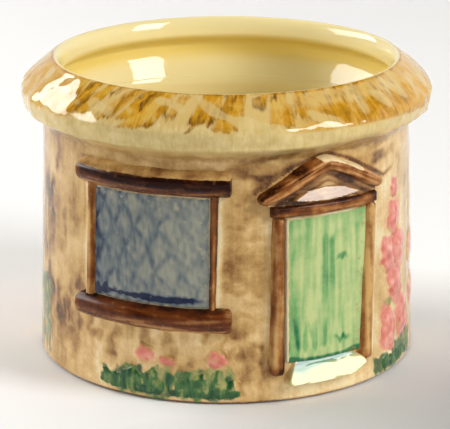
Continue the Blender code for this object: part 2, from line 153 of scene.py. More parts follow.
def outline_depth(x: Array, z: Array, corners: tuple[Pair, ...], soft: float) -> Array:
    """How far points lie inside a convex outline with soft corners.

    Args:
        x: Places along the wall.
        z: Heights.
        corners: The outline's corners, counter-clockwise.
        soft: Distance over which the sides run into each other.

    Returns:
        The depth inside the outline, negative outside it.
    """
    total = np.zeros_like(x)
    for (x0, z0), (x1, z1) in zip(corners, corners[1:] + corners[:1]):
        across = (x1 - x0) * (z - z0) - (z1 - z0) * (x - x0)
        total = total + np.exp(-across / math.hypot(x1 - x0, z1 - z0) / soft)
    return -soft * np.log(total)


def line_gap(x: Array, z: Array, points: list[Pair]) -> Array:
    """Distance of places from a line through points.

    Args:
        x: Places along the wall.
        z: Heights.
        points: The line's points.

    Returns:
        The distances.
    """
    gap = np.full_like(x, np.inf)
    for (x0, z0), (x1, z1) in zip(points, points[1:]):
        run_x, run_z = x1 - x0, z1 - z0
        share = np.clip(((x - x0) * run_x + (z - z0) * run_z) / (run_x**2 + run_z**2), 0, 1)
        gap = np.minimum(gap, np.hypot(x - x0 - share * run_x, z - z0 - share * run_z))
    return gap


def facet(off: Array) -> Array:
    """Extra rise that makes a patch flat instead of round, by the distance from its middle."""
    return WALL.foot_radius * (1 / np.cos(off / WALL.arc_radius) - 1)


def turned_points(radius: Array, angle: Array, z: Array) -> Array:
    """Points in space from radius, angle and height, with the coordinates on the last axis."""
    return np.stack((radius * np.sin(angle), -radius * np.cos(angle), z), axis=-1)


@dataclass(frozen=True)
class Shade:
    """A change that sets in softly between two places."""

    start: float
    full: float
    strength: float = 1.0
    fray: float = 0.0

    def __call__(self, place: Array, noise: Array = 0.0) -> Array:
        """The change at places, with its edge frayed by a noise."""
        return self.strength * smooth(self.start, self.full, place + self.fray * noise)


@dataclass(frozen=True)
class Band:
    """A stretch with soft ends: it sets in from start to full and ends from last to end."""

    start: float
    full: float
    last: float
    end: float
    strength: float = 1.0

    def __call__(self, place: Array) -> Array:
        """The band's strength at places."""
        return self.strength * smooth(self.start, self.full, place) * smooth(self.end, self.last, place)


@dataclass(frozen=True)
class Stroke:
    """A soft stroke: its place, its width and its strength."""

    place: float
    width: float
    strength: float = 1.0

    def __call__(self, place: Array) -> Array:
        """The stroke's strength at places."""
        return self.strength * peak(place - self.place, self.width)


@dataclass(frozen=True)
class Form:
    """A rounded form: its grid's step, its corners, its rise, its shoulder and its edge's fray."""

    step: float
    corner: float
    relief: float
    shoulder: float
    fray: float = 0.0

    def rise(self, depth: Array) -> Array:
        """The form's rise by the depth inside its outline."""
        return rounded(depth, self.relief, self.shoulder)


@dataclass(frozen=True)
class Brush:
    """How a piece is brushed: its mean tone, and how far the hand and the streaks change it."""

    tone: float
    hand: float
    streak: float = 0.0

    def __call__(self, hand: Array, streak: Array = 0.0) -> Array:
        """The tone, from the noises of the hand and of the streaks."""
        return self.tone + self.hand * hand + self.streak * streak


class Wobble:
    """A smooth random field in space, with no seam round the bowl."""

    WAVES = 14
    LENGTHS = (0.7, 1.5)
    CALM = 0.7
    GREATEST = 1.5

    def __init__(self, wavelength: float, seed: int, stretch: Stretch = UNSTRETCHED) -> None:
        """Draws the waves that make the field.

        Args:
            wavelength: Mean distance between crests.
            seed: Seed of the draw.
            stretch: How fast the field changes along each axis, as a share; small for long streaks.
        """
        rng = np.random.default_rng(seed)
        heading = rng.normal(size=(self.WAVES, 3))
        heading /= np.linalg.norm(heading, axis=1, keepdims=True)
        self.pull = heading * TURN / (wavelength * rng.uniform(*self.LENGTHS, (self.WAVES, 1)))
        self.phase = rng.uniform(0, TURN, self.WAVES)
        self.scale = math.sqrt(2.0 / self.WAVES)
        self.stretch = stretch

    def __call__(self, points: Array) -> Array:
        """Value of the field at points, mostly within -1 to 1."""
        phase = (points * self.stretch) @ self.pull.T + self.phase
        return np.clip(np.sin(phase).sum(axis=-1) * self.scale * self.CALM, -self.GREATEST, self.GREATEST)


# Node graphs


class Grain(Enum):
    """The way that brush hairs run on a piece, as a stretch of its pattern."""

    UPRIGHT = (1.0, 1.0, 0.1)
    LEVEL = (0.22, 0.22, 1.6)
    DABBED = (0.8, 0.8, 0.7)


@dataclass(frozen=True)
class Pattern:
    """A cloudy pattern of a material: its scale, detail, roughness and stretch."""

    scale: float
    detail: float = 4.0
    rough: float = 0.55
    stretch: Stretch = UNSTRETCHED


class Graph:
    """Builds a material's nodes with short calls."""

    MIDDLE = (0.3, 0.7)
    WORN = Pattern(160.0, 3.0)
    RIPPLED = Pattern(230.0, 3.0, 0.5)

    def __init__(self, name: str) -> None:
        """Starts a material with one Principled shader.

        Args:
            name: The material's name.
        """
        self.material = bpy.data.materials.new(name)
        self.material.use_nodes = True
        self.tree = self.material.node_tree
        self.shader = self.tree.nodes["Principled BSDF"]

    def node(self, kind: str, feeds: dict[object, object], **settings: object) -> bpy.types.Node:
        """Adds a node, sets its properties and feeds its inputs.

        Args:
            kind: The node's type.
            feeds: A source or a value for each input, by the input's name or number.
            **settings: The node's properties.

        Returns:
            The node.
        """
        made = self.tree.nodes.new(kind)
        for key, value in settings.items():
            setattr(made, key, value)
        self.feed(made, feeds)
        return made

    def feed(self, node: bpy.types.Node, feeds: dict[object, object]) -> None:
        """Links a node's inputs to outputs, or sets their values.

        Args:
            node: The node.
            feeds: An output, a number, a vector or a colour for each input, by its name or number.
        """
        for key, value in feeds.items():
            socket = node.inputs[key]
            if isinstance(value, Sockets):
                self.tree.links.new(value, socket)
            elif isinstance(value, tuple) and socket.type == "RGBA":
                socket.default_value = (*value, 1.0)
            else:
                socket.default_value = value

    def shade(self, feeds: dict[str, object]) -> Material:
        """Feeds the shader, and gives the material."""
        self.feed(self.shader, feeds)
        return self.material

    def attribute(self, name: str) -> Sockets:
        """A number that the mesh carries at each point."""
        return self.node("ShaderNodeAttribute", {}, attribute_name=name).outputs["Fac"]

    def vector(self, name: str) -> Sockets:
        """A vector that the mesh carries at each point."""
        return self.node("ShaderNodeAttribute", {}, attribute_name=name).outputs["Vector"]

    def place(self, stretch: Stretch = UNSTRETCHED, shift: Stretch = (0.0, 0.0, 0.0)) -> Sockets:
        """The point's place on the bowl, stretched and shifted.

        Args:
            stretch: Scale of each axis.
            shift: What is added to the place.

        Returns:
            A vector output.
        """
        coords = self.node("ShaderNodeTexCoord", {}).outputs["Object"]
        feeds = {"Vector": coords, "Location": shift, "Scale": stretch}
        return self.node("ShaderNodeMapping", feeds).outputs["Vector"]

    def length(self, vector: Sockets) -> Sockets:
        """Length of a vector."""
        return self.node("ShaderNodeVectorMath", {0: vector}, operation="LENGTH").outputs["Value"]

    def axis(self, vector: Sockets, name: str) -> Sockets:
        """One coordinate of a vector."""
        return self.node("ShaderNodeSeparateXYZ", {0: vector}).outputs[name]

    def noise(self, pattern: Pattern, vector: Sockets | None = None) -> Sockets:
        """A cloudy pattern from 0 to 1.

        Args:
            pattern: Its measures.
            vector: Where it is read, or none for the place on the bowl.

        Returns:
            A number output.
        """
        read = self.place(pattern.stretch) if vector is None else vector
        feeds = {"Scale": pattern.scale, "Detail": pattern.detail, "Roughness": pattern.rough}
        return self.node("ShaderNodeTexNoise", {"Vector": read, **feeds}).outputs["Fac"]

    def reckon(self, operation: str, first: Sockets, second: Sockets) -> Sockets:
        """Result of one operation on two numbers."""
        return self.node("ShaderNodeMath", {0: first, 1: second}, operation=operation).outputs[0]

    def add(self, *terms: Sockets) -> Sockets:
        """Sum of numbers."""
        return reduce(partial(self.reckon, "ADD"), terms)

    def times(self, first: Sockets, second: Sockets) -> Sockets:
        """Product of two numbers."""
        return self.reckon("MULTIPLY", first, second)

    def span(self, value: Sockets, low: float, high: float, out_low: float, out_high: float) -> Sockets:
        """Maps a range of values to another, clamped."""
        feeds = dict(enumerate((value, low, high, out_low, out_high)))
        return self.node("ShaderNodeMapRange", feeds, clamp=True).outputs[0]

    def vary(self, noise: Sockets, amount: float) -> Sockets:
        """A pattern brought to a range of plus and minus an amount."""
        return self.span(noise, *self.MIDDLE, -amount, amount)

    def ramp(self, value: Sockets, stops: tuple[tuple[float, Colour], ...]) -> Sockets:
        """A colour for each value.

        Args:
            value: The number that picks the colour.
            stops: Numbers in rising order, each with its colour.

        Returns:
            A colour output.
        """
        made = self.node("ShaderNodeValToRGB", {"Fac": value})
        band = made.color_ramp
        while len(band.elements) < len(stops):
            band.elements.new(1.0)
        for element, (place, colour) in zip(band.elements, stops):
            element.position = place
            element.color = (*colour, 1.0)
        return made.outputs["Color"]

    def mix(self, first: object, second: object, share: object) -> Sockets:
        """Mixes two colours."""
        feeds = {"Factor": share, 6: first, 7: second}
        return self.node("ShaderNodeMix", feeds, data_type="RGBA").outputs[2]

    def finish(
        self, colour: Sockets, ripple: float, roughness: Pair, gloss: float = FULL_GLOSS
    ) -> Material:
        """Ends the graph as a clear glossy glaze over a colour.

        Args:
            colour: Underglaze colour.
            ripple: Height of the glaze's ripple.
            roughness: Least and greatest roughness.
            gloss: Strength of the glaze's reflection.

        Returns:
            The material.
        """
        plain = self.place()
        worn = self.span(self.noise(self.WORN, plain), *self.MIDDLE, *roughness)
        height = self.noise(self.RIPPLED, plain)
        bump = self.node("ShaderNodeBump", {"Strength": 1.0, "Distance": ripple * MM, "Height": height})
        return self.shade({
            "Base Color": colour, "IOR": GLAZE_IOR, "Specular IOR Level": gloss, "Roughness": worn,
            "Normal": bump.outputs["Normal"],
        })


# Finishes


@dataclass(frozen=True)
class WallGlaze:
    """Cream glaze with a brown wash, from bare to heavily washed."""

    cream: Colour = (0.86, 0.71, 0.41)
    pale: Colour = (0.78, 0.54, 0.25)
    tan: Colour = (0.56, 0.34, 0.115)
    brown: Colour = (0.31, 0.15, 0.044)
    dark: Colour = (0.09, 0.032, 0.01)
    stops: tuple[float, ...] = (0.0, 0.16, 0.46, 0.75, 1.0)
    cloud: Pattern = Pattern(210.0, 6.0, 0.65)
    cloudy: tuple[float, ...] = (0.25, 0.75, -0.19, 0.21)
    strokes: Pattern = Pattern(700.0, 3.0, stretch=Grain.UPRIGHT.value)
    stroked: float = 0.07
    specks: Pattern = Pattern(1500.0, 3.0, 0.6)
    specked: float = 0.06

    def colour(self, graph: Graph) -> Sockets:
        """The wall's colour in a graph, from the piece's wash.

        Args:
            graph: The material's graph.

        Returns:
            A colour output.
        """
        cloud = graph.span(graph.noise(self.cloud), *self.cloudy)
        upright = graph.vary(graph.noise(self.strokes), self.stroked)
        speck = graph.vary(graph.noise(self.specks), self.specked)
        wash = graph.add(graph.attribute("wash"), cloud, upright, speck)
        shades = (self.cream, self.pale, self.tan, self.brown, self.dark)
        return graph.ramp(wash, tuple(zip(self.stops, shades)))


@dataclass(frozen=True)
class InsideGlaze:
    """Warm yellow glaze inside the bowl, deeper where it pools."""

    thin: Colour = (0.9, 0.765, 0.385)
    pooled: Colour = (0.88, 0.68, 0.19)
    cloud: Pattern = Pattern(60.0, 3.0)
    cloudy: float = 0.08

    def colour(self, graph: Graph) -> Sockets:
        """The inside's colour in a graph, from the piece's pool.

        Args:
            graph: The material's graph.

        Returns:
            A colour output.
        """
        cloud = graph.vary(graph.noise(self.cloud), self.cloudy)
        stops = ((0.0, self.thin), (1.0, self.pooled))
        return graph.ramp(graph.add(graph.attribute("pool"), cloud), stops)


WALL_GLAZE = WallGlaze()
INSIDE_GLAZE = InsideGlaze()
CLEAR_GLAZE = (0.03, 0.08)
WORN_GLAZE = (0.2, 0.34)
WORN_GLOSS = 0.28
SHELL_RIPPLE = 0.05


@dataclass(frozen=True)
class Paint:
    """A painted underglaze colour on relief, over the wall's own glaze."""

    name: str
    slot: str
    dark: Colour
    middle: Colour
    light: Colour
    grain: Grain
    streak: float = 0.22
    hair: float = 700.0
    roughness: Pair = CLEAR_GLAZE
    gloss: float = FULL_GLOSS
    RIPPLE = 0.03
    PATCHES = Pattern(420.0, 5.0, 0.62)
    PATCHED = 0.7
    EDGE = Pattern(700.0)
    RAGGED = 0.3
    BOUND = (0.0, 0.25)
    COVER = (0.2, 0.8)

    @property
    def stops(self) -> tuple[tuple[float, Colour], ...]:
        """The colours, by tone."""
        return ((0.0, self.dark), (0.5, self.middle), (1.0, self.light))

    def material(self) -> Material:
        """The finish as a material.

        Returns:
            A material that reads tone, paint and wash from the mesh.
        """
        graph = Graph(self.name)
        hairs = graph.noise(Pattern(self.hair, stretch=self.grain.value))
        patch = graph.noise(self.PATCHES)
        tone = graph.add(
            graph.attribute("tone"),
            graph.vary(hairs, self.streak),
            graph.vary(patch, self.streak * self.PATCHED),
        )
        painted = graph.ramp(tone, self.stops)
        edge = graph.vary(graph.noise(self.EDGE), self.RAGGED)
        bound = graph.span(graph.attribute("paint"), *self.BOUND, 0.0, 1.0)
        worn = graph.span(graph.add(graph.attribute("paint"), edge), *self.COVER, 0.0, 1.0)
        colour = graph.mix(WALL_GLAZE.colour(graph), painted, graph.times(worn, bound))
        return graph.finish(colour, self.RIPPLE, self.roughness, self.gloss)


class Finish(Enum):
    """The painted finishes of the relief."""

    # The light timber colour also carries the painted reflection on the window beams' undersides and left
    # ends.
    TIMBER = Paint(
        "brown_beam_paint", "timber_glaze",
        (0.018, 0.0025, 0.001), (0.15, 0.036, 0.006), (0.48, 0.24, 0.085), Grain.LEVEL,
        roughness=WORN_GLAZE, gloss=WORN_GLOSS,
    )
    RAFTER = Paint(
        "brown_hood_paint", "timber_glaze",
        (0.04, 0.008, 0.002), (0.26, 0.08, 0.015), (0.57, 0.28, 0.095), Grain.DABBED, 0.18,
        roughness=WORN_GLAZE, gloss=WORN_GLOSS,
    )
    POST = Paint(
        "brown_post_paint", "timber_glaze",
        (0.045, 0.008, 0.002), (0.29, 0.096, 0.02), (0.66, 0.39, 0.135), Grain.UPRIGHT, gloss=WORN_GLOSS,
    )
    PANE = Paint(
        "blue_grey_pane_paint", "pane_glaze",
        (0.002, 0.01, 0.05), (0.138, 0.17, 0.188), (0.35, 0.352, 0.275), Grain.UPRIGHT, 0.11,
    )
    DOOR = Paint(
        "green_door_paint", "door_glaze",
        (0.022, 0.16, 0.06), (0.22, 0.43, 0.15), (0.54, 0.62, 0.26), Grain.UPRIGHT, 0.17,
    )
    LEAF = Paint(
        "leaf_green_paint", "leaf_glaze",
        (0.006, 0.06, 0.02), (0.062, 0.165, 0.044), (0.42, 0.38, 0.13), Grain.UPRIGHT, 0.28, hair=900.0,
    )
    BLOOM = Paint(
        "pink_bloom_paint", "bloom_glaze",
        (0.42, 0.085, 0.06), (0.74, 0.225, 0.165), (0.9, 0.47, 0.36), Grain.DABBED, 0.18,
    )
    PANEL = Paint(
        "brown_panel_paint", "wall_glaze",
        (0.06, 0.02, 0.006), (0.33, 0.155, 0.048), (0.6, 0.38, 0.155), Grain.LEVEL, 0.18,
    )
    STEP = Paint(
        "cream_step_paint", "wall_glaze",
        (0.03, 0.17, 0.13), (0.28, 0.44, 0.27), (0.7, 0.62, 0.23), Grain.LEVEL, 0.08,
    )


class Palette:
    """Makes each finish once, when it is first used."""

    def __init__(self) -> None:
        """Starts with no materials."""
        self.made: dict[str, Material] = {}

    def get(self, finish: Finish) -> Material:
        """The material of a finish.

        Args:
            finish: The finish.

        Returns:
            Its material.
        """
        paint = finish.value
        if paint.name not in self.made:
            self.made[paint.name] = paint.material()
        return self.made[paint.name]


# Wall and the meshes that lie on it


@dataclass(frozen=True)
class Wall:
    """The tapered wall that carries the relief."""

    foot_radius: float = 42.6
    eaves_radius: float = 41.0
    height: float = 53.2
    thickness: float = 4.2
    flare_foot: float = 52.2
    flare_slope: float = 0.46

    @property
    def arc_radius(self) -> float:
        """Radius at which a sheet keeps its length."""
        return (self.foot_radius + self.eaves_radius) / 2

    def radius(self, z: Array) -> Array:
        """Outer radius at a height."""
        return self.foot_radius + (self.eaves_radius - self.foot_radius) * z / self.height

    def flare(self, z: float) -> float:
        """Inner radius at a height above the flare's foot."""
        return self.eaves_radius - self.thickness + (z - self.flare_foot) * self.flare_slope

    def place(self, arc: Array, rise: Array, z: Array) -> Array:
        """Places of sheet points in space, from arc, rise and height."""
        return turned_points(self.radius(z) + rise, arc / self.arc_radius, z)


WALL = Wall()
HALF_ROUND = math.pi * WALL.arc_radius


def nearest(arc: Array) -> Array:
    """An arc brought within half a turn of the front."""
    return wrapped(arc, 2 * HALF_ROUND)


class Half(Enum):
    """The two halves of the bowl, by their arc round the wall."""

    FRONT = 0.0
    BACK = HALF_ROUND

    @property
    def prefix(self) -> str:
        """Start of the half's node names."""
        return self.name.lower()


SHARP_EDGE = math.radians(70)


def new_mesh(name: str, points: Array, faces: list, numbers: dict[str, Array]) -> Mesh:
    """A smooth mesh that carries numbers at its points.

    Args:
        name: Its name.
        points: Its points, one a row.
        faces: Its faces as point numbers.
        numbers: Values at the points, by name.

    Returns:
        The mesh.
    """
    mesh = bpy.data.meshes.new(name)
    mesh.from_pydata((points * MM).tolist(), [], faces)
    for key, values in numbers.items():
        flat = np.ascontiguousarray(values, dtype=np.float32).ravel()
        wide = flat.size > len(points)
        layer = mesh.attributes.new(key, "FLOAT_VECTOR" if wide else "FLOAT", "POINT")
        layer.data.foreach_set("vector" if wide else "value", flat)
    mesh.update()
    mesh.shade_smooth()
    mesh.set_sharp_from_angle(angle=SHARP_EDGE)
    return mesh


def sheet_faces(columns: int, rows: int) -> list[list[int]]:
    """Faces of a closed patch: a grid in front and strips behind it.

    Args:
        columns: Points along the grid.
        rows: Points across the grid.

    Returns:
        Faces as point numbers, with the points stored column by column.
    """
    number = np.arange(columns * rows).reshape(columns, rows)
    corners = (number[:-1, :-1], number[1:, :-1], number[1:, 1:], number[:-1, 1:])
    faces = np.stack(corners, axis=-1).reshape(-1, 4).tolist()
    strips = (number[1:-2, 0], number[1:-2, -1], number[2:-1, -1], number[2:-1, 0])
    faces += np.stack(strips, axis=-1).tolist()
    faces.append([*number[0].tolist(), int(number[1, -1]), int(number[1, 0])])
    faces.append([*number[-1, ::-1].tolist(), int(number[-2, 0]), int(number[-2, -1])])
    return faces


@dataclass
class Sheet:
    """A grid of points on the wall for one relief piece.

    Its own axes may be turned on the wall: along points to the right before the turn.
    """

    middle: Pair
    half_along: float
    half_across: float
    turn: float = 0.0
    step: float = 0.3
    along: Array = field(init=False)
    across: Array = field(init=False)
    arc: Array = field(init=False)
    z: Array = field(init=False)
    MARGIN = 0.45
    FEWEST = 4
    DIGITS = 6

    def __post_init__(self) -> None:
        """Lays out the grid, with a sunk edge round the piece."""
        sizes = []
        for half in (self.half_along + self.MARGIN, self.half_across + self.MARGIN):
            steps = math.ceil(round(2 * half / self.step, self.DIGITS))
            sizes.append(np.linspace(-half, half, max(self.FEWEST, steps) + 1))
        self.along, self.across = np.meshgrid(*sizes, indexing="ij")
        cos, sin = math.cos(self.turn), math.sin(self.turn)
        self.arc = self.middle[0] + self.along * cos - self.across * sin
        self.z = self.middle[1] + self.along * sin + self.across * cos

    def points(self, rise: Array) -> Array:
        """The grid's points in space, with the edge held inside the wall.

        Args:
            rise: How far each grid point stands out of the wall.

        Returns:
            The points, with the coordinates on the last axis.
        """
        held = rise.copy()
        for edge in (held[0], held[-1], held[:, 0], held[:, -1]):
            edge[:] = -SINK
        return WALL.place(self.arc, held, self.z)

    def flat(self) -> Array:
        """The grid's points on the bare wall."""
        return WALL.place(self.arc, np.zeros_like(self.arc), self.z)

    def depth(self, form: Form, hand: Array = 0.0) -> Array:
        """How far the grid's points lie inside the box of a form that a noise frays."""
        box = (self.half_along, self.half_across, form.corner)
        return box_depth(self.along, self.across, *box) + form.fray * hand


@dataclass(frozen=True)
class WashField:
    """Brush strokes of brown wash over one stretch of the wall."""

    first: float
    last: float
    low: float
    high: float
    count: int
    length: float
    width: float
    strength: float
    upright: bool


@dataclass(frozen=True)
class Framing:
    """A frame on the wall that wash gathers against: its box, and the wash's strength and reach."""

    arc: float
    z: float
    half_arc: float
    half_z: float
    corner: float
    strength: float
    reach: float

    def pooled(self, arc: Array, z: Array) -> Array:
        """Wash along the frame's outline."""
        depth = box_depth(arc - self.arc, z - self.z, self.half_arc, self.half_z, self.corner)
        return self.strength * fade(np.abs(depth), self.reach)


@dataclass(frozen=True)
class BareLine:
    """A painted highlight: a line without wash beside a post or jamb: its arc at the foot and at the head,
    its two heights and its strength.
    """

    foot: float
    head: float
    low: float
    high: float
    strength: float
    WIDTH = 0.65
    END = 1

    def __call__(self, arc: Array, z: Array) -> Array:
        """How far the painted highlight line lightens places of the wall.

        Args:
            arc: Distances round the wall.
            z: Heights.

        Returns:
            The highlight's strength, from 0 to 1.
        """
        middle = blend(self.foot, self.head, (z - self.low) / (self.high - self.low))
        inside = Band(self.low - self.END, self.low + self.END, self.high - self.END, self.high + self.END)
        return self.strength * inside(z) * peak(arc - middle, self.WIDTH)


class WallWash:
    """How much brown wash lies at each place of the wall, with painted shade under the rim and along the
    foot, and painted highlight lines beside the posts and jambs.
    """

    FIELDS = (
        WashField(-64, -36, 2, 50, 96, 9, 3.4, 0.27, True),
        WashField(-42, 4, 5, 17, 56, 6, 3.0, 0.31, True),
        WashField(0, 10, 6, 50, 40, 8, 2.6, 0.2, False),
        WashField(-36, 10, 50, 55, 20, 13, 2.0, 0.26, False),
        WashField(8, 44, 49, 56, 26, 12, 2.2, 0.3, False),
        WashField(-1, 9, 2, 14, 16, 7, 2.8, 0.3, True),
        WashField(44, 67, 2, 52, 40, 8, 2.4, 0.24, True),
    )
    LENGTHS = (0.4, 1.2)
    WIDTHS = (0.5, 1.4)
    STRENGTHS = (0.3, 1.2)
    STROKE_EDGE = 1.1
    STROKE_CORE = (0.2, 0.3)
    FRAY = (0.5, 0.4)

    FRAMES = (
        Framing(WINDOW_ARC, 33.9, 17.4, 17, 2, 0.2, 1.2),
        Framing(DOOR_ARC, 24.6, 13.1, 18.6, 1, 0.26, 0.9),
    )
    HOOD_EDGE = (
        (-15.6, 46.2),
        (-12.0, 48.7),
        (-6.7, 51.7),
        (-3.1, 53.2),
        (0.6, 54.1),
        (6.5, 52.0),
        (12.6, 48.7),
        (18.2, 45.9),
        (22.9, 47.0),
    )
    HOOD_LEFT = Band(-18, -13, -3, 2, 1.5)
    HOOD_LEFT_REACH = 1.1
    HOOD_RIGHT = Band(-8, -4, 20, 24)
    HOOD_LINE = Stroke(0.0, 0.4, 1.4)
    HOOD_HALO = 0.12
    HOOD_HALO_REACH = 1.6
    POOLED = Brush(0.66, 0.34)

    BARE_LINES = (
        BareLine(35.1, 36.7, 7, 43, 1.0),
        BareLine(8.4, 9.1, 8, 41, 0.45),
        BareLine(-2.0, -1.2, 22, 46, 0.55),
        BareLine(-33.6, -33.2, 22, 46, 0.55),
    )
    BARE = -0.3

    THIN = Brush(0.19, 0.09)
    LEFT_SIDE = Band(-68, -58, -40, -30, 0.22)
    RIGHT_SIDE = Band(49, 53, 66, 72, 0.1)
    BESIDE_DOOR = Band(34, 37, 44, 50, 0.06)
    UNDER_DOOR = Band(9, 13, 36, 40)
    LOW_WALL = Shade(6, 3.5, 0.14)
    PIER = Band(-2, 3, 8, 12)
    PIER_WASH = 0.17
    COURSE = 5.4
    COURSE_SWAY = 1.5
    COURSES = Band(5, 9, 41, 44, 0.1)
    EVENED = Band(12, 20, 41, 44, 0.7)
    EVEN_LEVEL = 0.52
    EAVES = Shade(48, 53.5, 0.06)
    GREATEST = 0.92
    FOOT_LINE = Shade(0.75, 0.45, 0.85)

    def __init__(self, seed: int = 21) -> None:
        """Draws the strokes of both halves.

        Args:
            seed: Seed of the draw.
        """
        rng = np.random.default_rng(seed)
        self.strokes = []
        for half in Half:
            for patch in self.FIELDS:
                for _ in range(patch.count):
                    arc = half.value + rng.uniform(patch.first, patch.last)
                    z = rng.uniform(patch.low, patch.high)
                    length = patch.length * rng.uniform(*self.LENGTHS) / 2
                    width = patch.width * rng.uniform(*self.WIDTHS) / 2
                    strength = patch.strength * rng.uniform(*self.STRENGTHS)
                    reach = (width, length) if patch.upright else (length, width)
                    self.strokes.append((arc, z, *reach, strength))
        self.cloud = Wobble(9, seed + 1)
        self.fine = Wobble(3.2, seed + 2)

    def __call__(self, arc: Array, z: Array) -> Array:
        """Wash at places of the wall.

        Args:
            arc: Distances round the wall.
            z: Heights.

        Returns:
            The wash, below 0 on the painted highlight lines and 1 where it is darkest.
        """
        points = WALL.place(arc, np.zeros_like(arc), z)
        cloud = self.cloud(points)
        fine = self.fine(points)
        wash = self.brushed(arc, z, fine) + self.THIN(cloud)
        for half in Half:
            local = nearest(arc - half.value)
            wash = wash + self.pooled(local, z) * self.POOLED(cloud)
            wash = wash + self.LEFT_SIDE(local) - self.BESIDE_DOOR(local)
            wash = wash - self.LOW_WALL(z) * self.UNDER_DOOR(local)
            # Painted highlights: thin lines of bare cream beside the door posts and window jambs.
            bare = reduce(np.maximum, (highlight_line(local, z) for highlight_line in self.BARE_LINES))
            wash = blend(wash, self.BARE, bare) + self.RIGHT_SIDE(local)
            pier = self.PIER(local)
            courses = self.COURSES(z) * np.sin(TURN * z / self.COURSE + self.COURSE_SWAY * cloud)
            wash = wash + pier * (self.PIER_WASH + courses * uneven(fine))
            wash = wash - pier * self.EVENED(z) * np.maximum(wash - self.EVEN_LEVEL, 0.0)
        # Painted shade: more wash high on the wall, under the overhanging rim.
        wash = np.minimum(wash + self.EAVES(z), self.GREATEST)
        # A dark line along the foot: partly the dark clay edge, partly painted contact shadow.
        return np.clip(wash + self.FOOT_LINE(z), self.BARE, 1.0)

    def brushed(self, arc: Array, z: Array, fine: Array) -> Array:
        """Wash of the brush strokes.

        Args:
            arc: Distances round the wall.
            z: Heights.
            fine: The noise that frays the strokes.

        Returns:
            The wash, from 0 to 1.
        """
        bare = np.ones_like(arc)
        for stroke_arc, stroke_z, reach_arc, reach_z, strength in self.strokes:
            off_arc = np.abs(nearest(arc - stroke_arc) + self.FRAY[0] * fine) / reach_arc
            off_z = np.abs(z - stroke_z + self.FRAY[1] * fine) / reach_z
            close = np.maximum(off_arc, off_z) < self.STROKE_EDGE
            touch = smooth(self.STROKE_EDGE, self.STROKE_CORE[0], off_arc[close])
            touch = touch * smooth(self.STROKE_EDGE, self.STROKE_CORE[1], off_z[close])
            bare[close] *= 1 - strength * touch
        return 1 - bare

    def pooled(self, arc: Array, z: Array) -> Array:
        """Wash that gathers against the frames of the window and the door and along the hood.

        Args:
            arc: Distances round the wall.
            z: Heights.

        Returns:
            The wash.
        """
        near = sum(framing.pooled(arc, z) for framing in self.FRAMES)
        side = arc - DOOR_ARC
        gap = line_gap(side, z, self.HOOD_EDGE)
        over = z > np.interp(side, *zip(*self.HOOD_EDGE))
        near = near + self.HOOD_LEFT(side) * fade(gap, self.HOOD_LEFT_REACH) * over
        halo = self.HOOD_HALO * fade(gap, self.HOOD_HALO_REACH)
        return near + self.HOOD_RIGHT(side) * (self.HOOD_LINE(gap) + halo)


WASH = WallWash()


@dataclass(frozen=True)
class Dabs:
    """A patch of short brush dabs of one paint on the wall."""

    arc: float
    z: float
    half_arc: float
    half_z: float
    count: int
    width: float
    length: float
    tone: float
    spread: float


